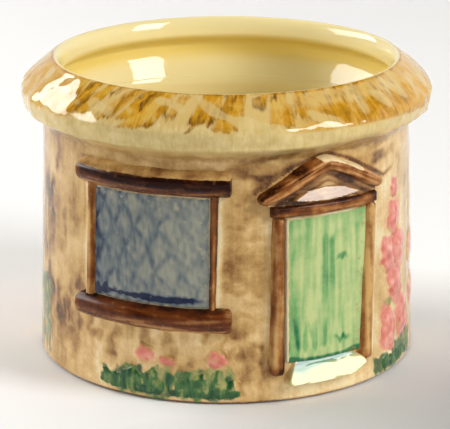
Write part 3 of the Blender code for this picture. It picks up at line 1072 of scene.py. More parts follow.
class Garden:
    """Green and pink paint of the plants, on the relief and on the wall round it."""

    GREEN = (
        Dabs(-11.8, 4.2, 13.2, 2.3, 170, 2.0, 4.6, 0.44, 0.36),
        Dabs(-12.6, 2.5, 14.6, 0.4, 70, 3.0, 1.8, 0.3, 0.2),
        Dabs(-21.5, 4.9, 2.6, 1.8, 22, 1.8, 4.6, 0.06, 0.08),
        Dabs(-26.4, 3.8, 2.2, 1.2, 10, 1.8, 3.4, 0.34, 0.2),
        Dabs(-15.0, 2.4, 4.4, 0.7, 22, 2.6, 2.0, 0.02, 0.04),
        Dabs(-9.6, 5.6, 1.8, 1.2, 10, 1.4, 4.2, 0.06, 0.08),
        Dabs(-2.2, 2.0, 5.0, 0.6, 20, 2.6, 2.0, 0.22, 0.12),
        Dabs(-14.0, 6.2, 2.0, 1.2, 12, 2.4, 3.4, 0.88, 0.1),
        Dabs(-3.4, 5.8, 4.4, 1.4, 22, 2.6, 3.4, 0.84, 0.12),
        Dabs(-54.0, 11.0, 4.0, 8.0, 60, 2.2, 5.4, 0.52, 0.2),
        Dabs(41.0, 3.0, 4.2, 1.5, 44, 2.8, 3.4, 0.3, 0.22),
        Dabs(49.6, 3.8, 4.4, 2.2, 48, 2.8, 4.4, 0.36, 0.22),
        Dabs(41.6, 16.4, 0.9, 0.8, 3, 2.6, 2.6, 0.9, 0.05),
    )
    PINK = (
        Dabs(45.1, 41.5, 0.8, 1.4, 7, 3.2, 3.8, 0.55, 0.15),
        Dabs(45.0, 35.2, 1.6, 3.0, 14, 4.4, 5.4, 0.5, 0.2),
        Dabs(44.5, 27.0, 4.2, 3.8, 30, 5.0, 5.6, 0.55, 0.2),
        Dabs(45.2, 19.6, 2.0, 3.2, 16, 5.0, 5.6, 0.5, 0.22),
        Dabs(42.2, 10.2, 1.6, 4.6, 22, 5.0, 6.0, 0.62, 0.2),
        Dabs(49.6, 11.0, 2.6, 4.0, 20, 5.0, 5.6, 0.58, 0.2),
        Dabs(58.2, 19.0, 2.4, 7.0, 14, 4.0, 5.0, 0.6, 0.2),
        Dabs(-17.6, 10.0, 1.2, 1.1, 5, 2.6, 2.6, 0.42, 0.2),
        Dabs(-12.8, 9.3, 1.6, 0.5, 5, 2.4, 1.4, 0.42, 0.2),
        Dabs(-1.9, 10.2, 1.0, 1.2, 5, 2.8, 2.8, 0.46, 0.2),
    )
    SIZES = (0.5, 1.1)
    TILT = 0.35
    BARE_TONE = 0.6
    COVER = 0.88
    EDGE = Shade(1.15, 0.55, fray=0.22)

    def __init__(self, seed: int = 300) -> None:
        """Draws the dabs of both halves.

        Args:
            seed: Seed of the draw.
        """
        rng = np.random.default_rng(seed)
        self.green_dabs = self.draw(rng, self.GREEN)
        self.pink_dabs = self.draw(rng, self.PINK)
        self.ragged = Wobble(2.6, seed + 1)

    def draw(self, rng: np.random.Generator, patches: tuple[Dabs, ...]) -> list[tuple[float, ...]]:
        """Draws each patch's dabs on both halves, in a mixed order.

        Args:
            rng: Source of the draw.
            patches: The patches.

        Returns:
            Arc, height, half the width, half the length, tilt and tone of each dab.
        """
        dabs = []
        for half in Half:
            for patch in patches:
                for _ in range(patch.count):
                    arc = half.value + patch.arc + rng.uniform(-1, 1) * patch.half_arc
                    z = patch.z + rng.uniform(-1, 1) * patch.half_z
                    width = patch.width * rng.uniform(*self.SIZES) / 2
                    length = patch.length * rng.uniform(*self.SIZES) / 2
                    tone = patch.tone + rng.uniform(-1, 1) * patch.spread
                    dabs.append((arc, z, width, length, rng.normal(0, self.TILT), tone))
        return [dabs[i] for i in rng.permutation(len(dabs))]

    def paint(
        self, dabs: list[tuple[float, ...]], arc: Array, z: Array
    ) -> Arrays:
        """Cover and tone of dabs at places of the wall.

        Args:
            dabs: The dabs.
            arc: Distances round the wall.
            z: Heights.

        Returns:
            Cover and tone.
        """
        ragged = self.ragged(WALL.place(arc, np.zeros_like(arc), z))
        cover = np.zeros_like(arc)
        tone = np.full_like(arc, self.BARE_TONE)
        for dab_arc, dab_z, width, length, tilt, dab_tone in dabs:
            off = nearest(arc - dab_arc)
            up = z - dab_z
            close = np.maximum(np.abs(off), np.abs(up)) < 2 * length + width
            if not close.any():
                continue
            x = off[close] * math.cos(tilt) - up[close] * math.sin(tilt)
            y = off[close] * math.sin(tilt) + up[close] * math.cos(tilt)
            touch = self.EDGE(np.hypot(x / width, y / length), ragged[close])
            tone[close] = blend(tone[close], dab_tone, touch)
            cover[close] = 1 - (1 - cover[close]) * (1 - self.COVER * touch)
        return cover, tone

    def green(self, arc: Array, z: Array) -> Arrays:
        """Cover and tone of the green paint."""
        return self.paint(self.green_dabs, arc, z)

    def pink(self, arc: Array, z: Array) -> Arrays:
        """Cover and tone of the pink paint."""
        return self.paint(self.pink_dabs, arc, z)


GARDEN = Garden()


@dataclass
class Relief:
    """What all relief groups share: their half, the finishes and how pieces are made."""

    half: Half
    palette: Palette
    FULL_COVER = Shade(-0.3, 0.0)
    BEAM_COVER = Shade(-0.35, -0.05)

    def patch(
        self, node: str, sheet: Sheet, rise: Array, finish: Finish, darkest: float = 0.0,
        **numbers: Array,
    ) -> Piece:
        """Makes a piece from a sheet and sets it in place of its node.

        Args:
            node: The node's name without its half.
            sheet: The grid that the piece is made on.
            rise: How far each grid point stands out of the wall.
            finish: Its finish.
            darkest: The least tone.
            **numbers: Paint and tone at the grid points, and the wash if it is not the wall's own.

        Returns:
            The piece.
        """
        numbers["tone"] = np.clip(numbers["tone"], darkest, 1)
        numbers.setdefault("wash", WASH(sheet.arc, sheet.z))
        points = sheet.points(rise).reshape(-1, 3)
        return self.settle(node, new_mesh(node, points, sheet_faces(*sheet.arc.shape), numbers), finish)

    def button(
        self, node: str, middle: Pair, outline: Array, rise: Array, finish: Finish,
        **numbers: Array,
    ) -> Piece:
        """Makes a piece from rings round its middle and sets it in place of its node.

        Args:
            node: The node's name without its half.
            middle: Arc and height of its middle.
            outline: Ring points round the middle, by ring and place on the ring, as arc and height.
            rise: How far each ring point stands out of the wall; the first ring is the middle.
            finish: Its finish.
            **numbers: Paint and tone at the ring points.

        Returns:
            The piece.
        """
        rings, count = rise.shape
        arc = middle[0] + outline[..., 0]
        z = middle[1] + outline[..., 1]
        numbers["tone"] = np.clip(numbers["tone"], 0, 1)
        numbers["wash"] = WASH(arc, z)
        keep = np.concatenate(([0], np.arange(count, rings * count)))
        points = WALL.place(arc, rise, z).reshape(-1, 3)[keep]
        numbers = {key: value.reshape(-1)[keep] for key, value in numbers.items()}
        number = np.arange(1, (rings - 1) * count + 1).reshape(rings - 1, count)
        after = np.roll(number, -1, axis=1)
        faces = np.stack((number[1:], after[1:], after[:-1], number[:-1]), axis=-1)
        faces = faces[..., ::-1].reshape(-1, 4).tolist()
        faces += [[0, int(a), int(b)] for a, b in zip(number[0], after[0])]
        faces.append(number[-1, ::-1].tolist())
        return self.settle(node, new_mesh(node, points, faces, numbers), finish)

    def settle(self, node: str, mesh: Mesh, finish: Finish) -> Piece:
        """Puts a mesh into the scene in place of its node, with its finish."""
        name = f"{self.half.prefix}_{node}"
        return settle(f"{name}_glazed", mesh, self.palette.get(finish), finish.value.slot, name)


def settle(
    name: str, mesh: Mesh, material: Material, slot: str, *nodes: str
) -> Piece:
    """Puts a mesh into the scene as a piece of the bowl.

    Args:
        name: The piece's name.
        mesh: Its mesh, in the bowl's frame.
        material: Its finish.
        slot: The record's material slot; not used.
        *nodes: The nodes that it stands for.

    Returns:
        The piece.
    """
    mesh.materials.append(material)
    piece = bpy.data.objects.new(name, mesh)
    bpy.context.scene.collection.objects.link(piece)
    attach(piece, "root")
    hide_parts(*nodes)
    LOG.info("%s: %d points", name, len(mesh.vertices))
    return piece


# Shell and rim


def curve(start: Pair, start_handle: Pair, end_handle: Pair, end: Pair, count: int) -> list[Pair]:
    """Points of one cubic stretch of a profile, without its last point."""
    knots = [Vector((*p, 0.0)) for p in (start, start_handle, end_handle, end)]
    return [(p.x, p.y) for p in interpolate_bezier(*knots, count + 1)][:-1]


def line(start: Pair, end: Pair, count: int) -> list[Pair]:
    """Points of one straight stretch of a profile, without its last point."""
    shares = [i / count for i in range(count)]
    return [(blend(start[0], end[0], share), blend(start[1], end[1], share)) for share in shares]


def turned_faces(rows: int, columns: int, closed: bool) -> list[list[int]]:
    """Faces of a profile that is turned about the axis.

    Args:
        rows: Points of the profile.
        columns: Steps of the turn.
        closed: True if the profile is a loop, and False if both ends lie on the axis.

    Returns:
        Faces as point numbers, with the points stored row by row; an open profile's two end points
        come after the rows.
    """
    number = np.arange(rows * columns).reshape(rows, columns)
    after = np.roll(number, -1, axis=1)
    below, beyond = (np.roll(number, -1, axis=0), np.roll(after, -1, axis=0))
    if not closed:
        number, after, below, beyond = (a[:-1] for a in (number, after, below, beyond))
    faces = np.stack((number, below, beyond, after), axis=-1).reshape(-1, 4).tolist()
    if not closed:
        start, end = rows * columns, rows * columns + 1
        first = np.arange(columns)
        last = first + (rows - 1) * columns
        faces += [[start, int(a), int(b)] for a, b in zip(first, np.roll(first, -1))]
        faces += [[end, int(b), int(a)] for a, b in zip(last, np.roll(last, -1))]
    return faces


def shifted(place: Pair, by: Pair) -> Pair:
    """A place moved by an offset."""
    return (place[0] + by[0], place[1] + by[1])


@dataclass(frozen=True)
class Bend:
    """One curved stretch of a profile: its end, its handles as offsets from both ends, and its steps."""

    end: Pair
    leave: Pair
    arrive: Pair
    count: int

    def points(self, start: Pair) -> list[Pair]:
        """Points of the stretch from its start, without its last point."""
        return curve(start, shifted(start, self.leave), shifted(self.end, self.arrive), self.end, self.count)


@dataclass
class Shell:
    """Floor, wall and foot ring."""

    floor: float = 5.0
    fillet: float = 5.0
    foot_round: float = 1.3
    ring_width: float = 4.5
    recess: float = 1.2
    top: float = 53.5
    columns: int = 660
    wall_rows: int = 140
    HUB = 2
    FILLET_BEND = 0.55
    FOOT_BEND = 0.45
    FLARE_START = 1.0
    FLARE_HANDLES = (0.3, 0.7)
    HAND = Wobble(11, 5)
    HAND_DEPTH = 0.1
    WASH_DEPTH = 0.1
    FOOT_CALM = 3
    TOP_CALM = 2
    POOL = Shade(30, 8, 0.25)
    HAIRS = Pattern(700.0, stretch=Grain.UPRIGHT.value)
    HAIRED = 0.2
    RAG = Pattern(600.0, 4.0, 0.6)
    RAGGED = 0.35
    COVER = (0.15, 0.95, 0.0, 0.92)

    def profile(self) -> tuple[Array, int, int]:
        """The turned outline, from the floor's middle over the wall to the foot.

        Returns:
            The outline's points as radius and height without its two ends on the axis, and the first
            and the last row of the outer wall.
        """
        foot = WALL.foot_radius
        inner_foot = foot - WALL.thickness
        inner_top = WALL.eaves_radius - WALL.thickness
        outer_top = (float(WALL.radius(self.top)), self.top)
        bend = self.FILLET_BEND * self.fillet
        floor_end = (inner_foot - self.fillet, self.floor)
        wall_start = (inner_foot, self.floor + self.fillet)
        flare_start = (inner_top, WALL.flare_foot - self.FLARE_START)
        flare_end = (WALL.flare(self.top), self.top)
        low, high = self.FLARE_HANDLES
        points = line((self.HUB, self.floor), floor_end, count=8)
        points += curve(
            floor_end, shifted(floor_end, (bend, 0.0)), (inner_foot, self.floor + bend), wall_start, count=8
        )
        points += line(wall_start, flare_start, count=34)
        points += curve(
            flare_start, (inner_top, WALL.flare_foot - low),
            (flare_end[0] - high * WALL.flare_slope, self.top - high), flare_end, count=8,
        )
        points += line(flare_end, outer_top, count=3)
        first = len(points)
        round_top = (float(WALL.radius(self.foot_round)), self.foot_round)
        points += line(outer_top, round_top, self.wall_rows)
        flat = foot - self.foot_round
        bend = self.FOOT_BEND * self.foot_round
        points += curve(round_top, (foot, bend), (flat + bend, 0.0), (flat, 0.0), count=6)
        last = len(points)
        ring = flat - self.ring_width
        points += line((flat, 0.0), (ring, 0.0), count=3)
        points += line((ring, 0.0), (ring - self.recess, self.recess), count=3)
        points += line((ring - self.recess, self.recess), (self.HUB, self.recess), count=8)
        return np.array(points), first, last

    def build(self) -> Piece:
        """Makes the shell in place of its node.

        Returns:
            The piece.
        """
        profile, first, last = self.profile()
        rows = len(profile)
        angles = np.broadcast_to(np.arange(self.columns) * TURN / self.columns, (rows, self.columns))
        radius = np.repeat(profile[:, :1], self.columns, axis=1)
        z = np.repeat(profile[:, 1:], self.columns, axis=1)
        outer = np.zeros((rows, 1))
        outer[first:last] = 1.0
        inside = np.zeros((rows, self.columns))
        inside[: first - 1] = 1.0
        wash = WASH(angles * WALL.arc_radius, z) * outer
        hand = self.HAND(turned_points(radius, angles, z)) * self.HAND_DEPTH - self.WASH_DEPTH * wash
        calm = outer * Band(0.0, self.FOOT_CALM, self.top - self.TOP_CALM, self.top)(z)
        points = turned_points(radius + hand * calm, angles, z).reshape(-1, 3)
        ends = np.array(((0.0, 0.0, self.floor), (0.0, 0.0, self.recess)))
        numbers = {"wash": wash, "inside": inside, "pool": self.POOL(z)}
        arc = nearest(angles * WALL.arc_radius)
        for key, (cover, tone) in (("green", GARDEN.green(arc, z)), ("pink", GARDEN.pink(arc, z))):
            numbers[key] = cover * outer
            numbers[f"{key}_tone"] = tone
        ended = {key: np.append(value.ravel(), value.ravel()[[0, -1]]) for key, value in numbers.items()}
        faces = turned_faces(rows, self.columns, closed=False)
        mesh = new_mesh("bowl_shell", np.vstack((points, ends)), faces, ended)
        return settle("bowl_shell_glazed", mesh, self.material(), "wall_glaze", "bowl_shell")

    def material(self) -> Material:
        """Washed wall with painted plants outside, yellow glaze inside.

        Returns:
            A material that reads the plants' paint, the wash and the pool from the mesh.
        """
        graph = Graph("washed_wall_glaze")
        colour = WALL_GLAZE.colour(graph)
        hairs = graph.vary(graph.noise(self.HAIRS), self.HAIRED)
        rag = graph.vary(graph.noise(self.RAG), self.RAGGED)
        for key, finish in (("pink", Finish.BLOOM), ("green", Finish.LEAF)):
            tone = graph.add(graph.attribute(f"{key}_tone"), hairs)
            painted = graph.ramp(tone, finish.value.stops)
            bound = graph.span(graph.attribute(key), *Paint.BOUND, 0.0, 1.0)
            cover = graph.span(graph.add(graph.attribute(key), rag), *self.COVER)
            colour = graph.mix(colour, painted, graph.times(cover, bound))
        colour = graph.mix(colour, INSIDE_GLAZE.colour(graph), graph.attribute("inside"))
        return graph.finish(colour, SHELL_RIPPLE, CLEAR_GLAZE)


@dataclass(frozen=True)
class Straw:
    """One stroke of straw: its middle, half its width and its lean round the rim, and its ends down it."""

    middle: float
    width: float
    start: float
    end: float
    lean: float
    tone: float
    strength: float
    SIDE = Shade(1.15, 0.55, fray=0.12)
    END_FRAY = 0.05
    START_SOFT = 0.06
    TIP_SOFT = (-0.05, 0.07)
    SIDE_POOL = Shade(0.45, 0.95, 0.34)
    TIP_POOL = Shade(0.18, 0.04, 0.34)

    def paint(
        self, angles: Array, down: Array, ragged: Array
    ) -> Arrays:
        """Cover and tone of the stroke.

        Args:
            angles: Angle of each point round the axis, with the straw's sway.
            down: How far down the thatch each point lies.
            ragged: The noise that frays the stroke.

        Returns:
            Cover and tone.
        """
        off = np.abs(wrapped(angles - self.middle + self.lean * down, TURN)) / self.width
        tip = self.end + self.END_FRAY * ragged - down
        begun = down + self.END_FRAY * ragged - self.start
        along = smooth(-self.START_SOFT, self.START_SOFT, begun) * smooth(*self.TIP_SOFT, tip)
        touch = self.SIDE(off, ragged) * along * self.strength
        return touch, self.tone + self.SIDE_POOL(off) + self.TIP_POOL(tip)


@dataclass(frozen=True)
class StrawLayer:
    """One kind of straw stroke: how many, and the least and greatest of each measure."""

    count: int
    width: Pair
    start: Pair
    length: Pair
    tone: Pair
    strength: Pair
    JITTER = (-0.45, 0.45)
    LEAN = (0.045, 0.018)
    SWEEP = Band(-0.95, -0.6, -0.35, 0.3, 0.13)

    def draw(self, rng: np.random.Generator, number: int, radius: float) -> Straw:
        """Draws one stroke.

        Args:
            rng: Source of the draw.
            number: Its place in the layer.
            radius: Radius at which its width is measured.

        Returns:
            The stroke.
        """
        middle = (number + rng.uniform(*self.JITTER)) * TURN / self.count
        width = rng.uniform(*self.width) / radius / 2
        start = rng.uniform(*self.start)
        end = start + rng.uniform(*self.length)
        lean = rng.normal(*self.LEAN) + float(self.SWEEP(wrapped(middle, math.pi)))
        return Straw(middle, width, start, end, lean, rng.uniform(*self.tone), rng.uniform(*self.strength))


@dataclass(frozen=True)
class Coat:
    """A coat over the straw: its tone, how far it hides the tone below it, and its cover."""

    tone: float
    hides: float
    covers: float

    def over(self, cover: Array, tone: Array, mask: Array) -> Arrays:
        """Cover and tone with the coat laid where the mask is."""
        return np.maximum(cover, self.covers * mask), blend(tone, self.tone, self.hides * mask)


@dataclass
class ThatchRim:
    """The hollow rolled rim with its painted straw."""

    seat: float = 53.5
    flare_end: float = 57.4
    crest: float = 38.4
    inner: tuple[Bend, ...] = (
        Bend((39.6, 60.2), (1.2 * WALL.flare_slope, 1.2), (0.0, -1.2), 10),
        Bend((36.7, 63.6), (0.0, 1.5), (0.0, -1.5), 14),
        Bend((38.4, 67.4), (0.0, 1.9), (-0.9, 0.0), 16),
    )
    thatch: tuple[Bend, ...] = (
        Bend((45.95, 60.4), (1.0, 0.0), (0.0, 1.6), 34),
        Bend((45.4, 57.1), (0.0, -1.6), (0.0, 0.9), 10),
        Bend((WALL.radius(seat), seat), (-0.2, -1.0), (0.0, 1.2), 16),
    )
    columns: int = 900
    seed: int = 77
    INSIDE = -1.0
    SEAT_DOWN = 3.0

    LAYERS = (
        StrawLayer(50, (2.8, 5.4), (-0.1, 0.06), (0.66, 1.06), (0.04, 0.34), (0.75, 1.00)),
        StrawLayer(80, (1.0, 2.6), (-0.1, 0.4), (0.3, 0.6), (0.34, 0.7), (0.6, 1.00)),
        StrawLayer(64, (0.6, 1.4), (-0.08, 0.16), (0.14, 0.42), (0.72, 1.00), (0.35, 0.8)),
    )
    BARE_TONE = 0.14
    RAG_WAVES = (50, 260, 16)
    RAG_HEIGHT = 0.25
    SWAYS = ((0.01, 3.0, 17), (0.005, 5.3, 41))
    LEAST_COVER = 0.25
    BROWN_MIDDLE = 0.85
    BROWN_SIDE = Shade(0.75, 0.3)
    BROWN_TOP = Shade(0.42, 0.58, fray=0.08)
    BROWN_LOW = 0.95
    BROWN_DIP = Shade(-0.1, 0.45, 0.35)
    BROWN_SOFT = 0.2
    BROWN_COAT = Coat(0.55, 0.8, 0.84)
    OPEN_STRAW = Band(0.12, 0.2, 0.42, 0.55, 0.45)
    FLANK_MIDDLE = -1.45
    FLANK_SIDE = Shade(0.75, 0.4)
    FLANK_END = Shade(1.12, 0.95, fray=0.1)
    FLANK_COAT = Coat(0.04, 0.7, 0.9)
    VEIL = Shade(0.98, 0.7, 0.33, 0.16)
    CREST_LINE = 0.075
    CREST_REACH = Shade(0.07, 0.015, fray=0.02)
    CREST_COAT = Coat(0.7, 0.75, 0.6)
    LIP_EDGE = Shade(0.01, 0.05)

    BALD = Wobble(4.5, 10)
    BALD_PATCH = Shade(0.3, 0.8, 0.55)
    BELOW_CREST = Shade(0.1, 0.25)
    HAND = Wobble(8, 8, (1.0, 1.0, 0.6))
    FINE_HAND = Wobble(4.0, 9)
    FINE_SHARE = 0.4
    HAND_MIDDLE = 1.2
    HAND_DEPTH = 0.19
    STRAW_DEPTH = 0.03
    CALM = Band(0.05, 0.3, 2.3, 2.9)
    POOL = Band(55.5, 59.5, 61.8, 64.2)
    CREAM = Shade(2.95, 2.05)
    WASHED_SIDE = Shade(0.15, 0.65, 0.55)
    WASH_TOP = 1.5
    FLOW = (60, 1.1)

    HAIRS = Pattern(1.1, 5.0, 0.6)
    FLECKS = Pattern(420.0, 5.0, 0.65)
    CREAM_HAIR = 0.12
    CREAM_STOPS = ((0.3, (0.67, 0.49, 0.175)), (0.7, (0.82, 0.64, 0.295)))
    TONE_HAIR = 0.17
    TONE_FLECK = 0.24
    STRAW_STOPS = ((0.0, (0.72, 0.41, 0.042)), (0.4, (0.61, 0.29, 0.014)), (1.0, (0.19, 0.08, 0.009)))
    COVER_HAIR = 0.14
    COVER_FLECK = 0.16
    BOUND = (0.0, 0.2)
    COVER = (0.08, 0.92)
    ROUGHNESS = (0.02, 0.05)

    def profile(self) -> Arrays:
        """The closed outline of the rim.

        Returns:
            Points as radius and height, and for each one how far down the thatch it lies: 0 at the
            crest, 1 at the widest line, 2 at the fringe, 3 at the seat, and -1 inside.
        """
        start = (WALL.flare(self.seat), self.seat)
        place = (WALL.flare(self.flare_end), self.flare_end)
        points = line(start, place, count=12)
        for bend in self.inner:
            points += bend.points(place)
            place = bend.end
        down = [self.INSIDE] * len(points)
        for begin, bend in enumerate(self.thatch):
            points += bend.points(place)
            down += [begin + i / bend.count for i in range(bend.count)]
            place = bend.end
        points += line(place, start, count=3)
        down += [self.SEAT_DOWN, self.INSIDE, self.INSIDE]
        return np.array(points), np.array(down)

    def straw(self, angles: Array, down: Array) -> Arrays:
        """Brush strokes of straw on the thatch.

        Args:
            angles: Angle of each point round the axis.
            down: How far down the thatch each point lies.

        Returns:
            Cover and tone of the straw paint.
        """
        rng = np.random.default_rng(self.seed)
        ragged = np.zeros_like(angles)
        for waves in rng.integers(*self.RAG_WAVES):
            ragged = ragged + np.sin(waves * angles + rng.uniform(0, TURN)) * self.RAG_HEIGHT
        swayed = angles + sum(far * np.sin(run * down + waves * angles) for far, run, waves in self.SWAYS)
        cover = np.zeros_like(angles)
        tone = np.full_like(angles, self.BARE_TONE)
        for layer in self.LAYERS:
            for number in range(layer.count):
                touch, stroke_tone = layer.draw(rng, number, self.crest).paint(swayed, down, ragged)
                most = np.maximum(touch, np.maximum(cover, self.LEAST_COVER))
                tone = blend(tone, stroke_tone, touch / most * np.minimum(touch * 2, 1))
                cover = 1 - (1 - cover) * (1 - touch)
        return self.coats(cover, tone, angles, down, ragged)

    def coats(
        self, cover: Array, tone: Array, angles: Array, down: Array, ragged: Array
    ) -> Arrays:
        """Lays the brown bands, the flanks, the thin veil and the crest line over the straw.

        Args:
            cover: Cover of the straw.
            tone: Tone of the straw.
            angles: Angle of each point round the axis.
            down: How far down the thatch each point lies.
            ragged: The noise that frays the coats.

        Returns:
            Cover and tone.
        """
        off = wrapped(angles - self.BROWN_MIDDLE, math.pi)
        side = self.BROWN_SIDE(np.abs(off))
        low = self.BROWN_LOW + self.BROWN_DIP(off)
        brown = side * self.BROWN_TOP(down, ragged) * smooth(low + self.BROWN_SOFT, low, down)
        cover = cover * (1 - side * self.OPEN_STRAW(down))
        cover, tone = self.BROWN_COAT.over(cover, tone, brown)
        flank = self.FLANK_SIDE(np.abs(wrapped(angles - self.FLANK_MIDDLE, math.pi)))
        flank = flank * self.FLANK_END(down, ragged)
        cover, tone = self.FLANK_COAT.over(cover, tone, flank)
        cover = np.maximum(cover, self.VEIL(down, ragged))
        crest = self.CREST_REACH(np.abs(down - self.CREST_LINE), ragged)
        cover, tone = self.CREST_COAT.over(cover, tone, crest)
        return cover * self.LIP_EDGE(down), tone

    def build(self) -> Piece:
        """Makes the rim in place of its node.

        Returns:
            The piece.
        """
        profile, down_row = self.profile()
        rows = len(profile)
        angles = np.broadcast_to(np.arange(self.columns) * TURN / self.columns, (rows, self.columns))
        radius = np.repeat(profile[:, :1], self.columns, axis=1)
        z = np.repeat(profile[:, 1:], self.columns, axis=1)
        down = np.repeat(down_row[:, None], self.columns, axis=1)
        cover, tone = self.straw(angles, down)
        outside = (down >= 0).astype(float)
        plain = turned_points(radius, angles, z)
        cover = cover * outside * (1 - self.BALD_PATCH(self.BALD(plain)) * self.BELOW_CREST(down))
        hand = self.HAND(plain) + self.FINE_SHARE * self.FINE_HAND(plain) + self.HAND_MIDDLE
        sunk = self.STRAW_DEPTH * (1 - cover) + self.HAND_DEPTH * hand
        points = turned_points(radius - outside * self.CALM(down) * sunk, angles, z).reshape(-1, 3)
        washed = self.WASHED_SIDE(wrapped(angles, math.pi))
        around, along = self.FLOW
        numbers = {
            "straw": cover,
            "tone": tone,
            "cream": self.CREAM(down + washed) * outside,
            "wash": WASH(angles * WALL.arc_radius, np.minimum(z, self.seat + self.WASH_TOP)),
            "inside": 1 - outside,
            "pool": self.POOL(z),
            "flow": np.stack((around * np.sin(angles), around * np.cos(angles), along * down), axis=-1),
        }
        mesh = new_mesh("thatch_rim", points, turned_faces(rows, self.columns, closed=True), numbers)
        return settle("thatch_rim_glazed", mesh, self.material(), "thatch_glaze", "thatch_rim")

    def material(self) -> Material:
        """Golden straw strokes on cream, over the washed wall, with yellow glaze inside.

        Returns:
            A material that reads the straw, the wash and the pool from the mesh.
        """
        graph = Graph("straw_thatch_glaze")
        hairs = graph.noise(self.HAIRS, graph.vector("flow"))
        fleck = graph.noise(self.FLECKS)
        cream = graph.ramp(graph.add(fleck, graph.vary(hairs, self.CREAM_HAIR)), self.CREAM_STOPS)
        tone = graph.add(
            graph.attribute("tone"), graph.vary(hairs, self.TONE_HAIR), graph.vary(fleck, self.TONE_FLECK)
        )
        straw = graph.ramp(tone, self.STRAW_STOPS)
        bound = graph.span(graph.attribute("straw"), *self.BOUND, 0.0, 1.0)
        worn = graph.add(
            graph.attribute("straw"), graph.vary(hairs, self.COVER_HAIR), graph.vary(fleck, self.COVER_FLECK)
        )
        cover = graph.times(graph.span(worn, *self.COVER, 0.0, 1.0), bound)
        wall = graph.mix(WALL_GLAZE.colour(graph), cream, graph.attribute("cream"))
        thatch = graph.mix(wall, straw, cover)
        colour = graph.mix(thatch, INSIDE_GLAZE.colour(graph), graph.attribute("inside"))
        return graph.finish(colour, SHELL_RIPPLE, self.ROUGHNESS)


# Window


@dataclass(frozen=True)
class Upright:
    """A jamb or post: its middle and its width, each at the foot and at the head, and its tone."""

    node: str
    middle: Pair
    width: Pair
    tone: float

    def sheet(self, arc: float, low: float, high: float, step: float) -> Sheet:
        """The upright's grid between two heights, in a frame whose middle lies at an arc."""
        half = (max(self.width) + abs(self.middle[1] - self.middle[0])) / 2
        return Sheet((arc + sum(self.middle) / 2, (low + high) / 2), half, (high - low) / 2, step=step)

    def side(self, sheet: Sheet) -> Arrays:
        """The leaning upright's measures at the points of its grid.

        Args:
            sheet: The upright's grid.

        Returns:
            Distance from the leaning middle line, and half the width.
        """
        share = sheet.across / sheet.half_across / 2 + 0.5
        lean = (share - 0.5) * (self.middle[1] - self.middle[0])
        return sheet.along - lean, blend(self.width[0], self.width[1], share) / 2


@dataclass(frozen=True)
class Beam:
    """One beam of the window: its place, its section and its paint, from underside to top; its light
    underside and left end are a painted reflection.
    """

    node: str
    floor: float
    height: float
    places: tuple[float, ...]
    rises: tuple[float, ...]
    tones: tuple[float, ...]
    bare: float
    left_lift: float
    end_tones: Pair


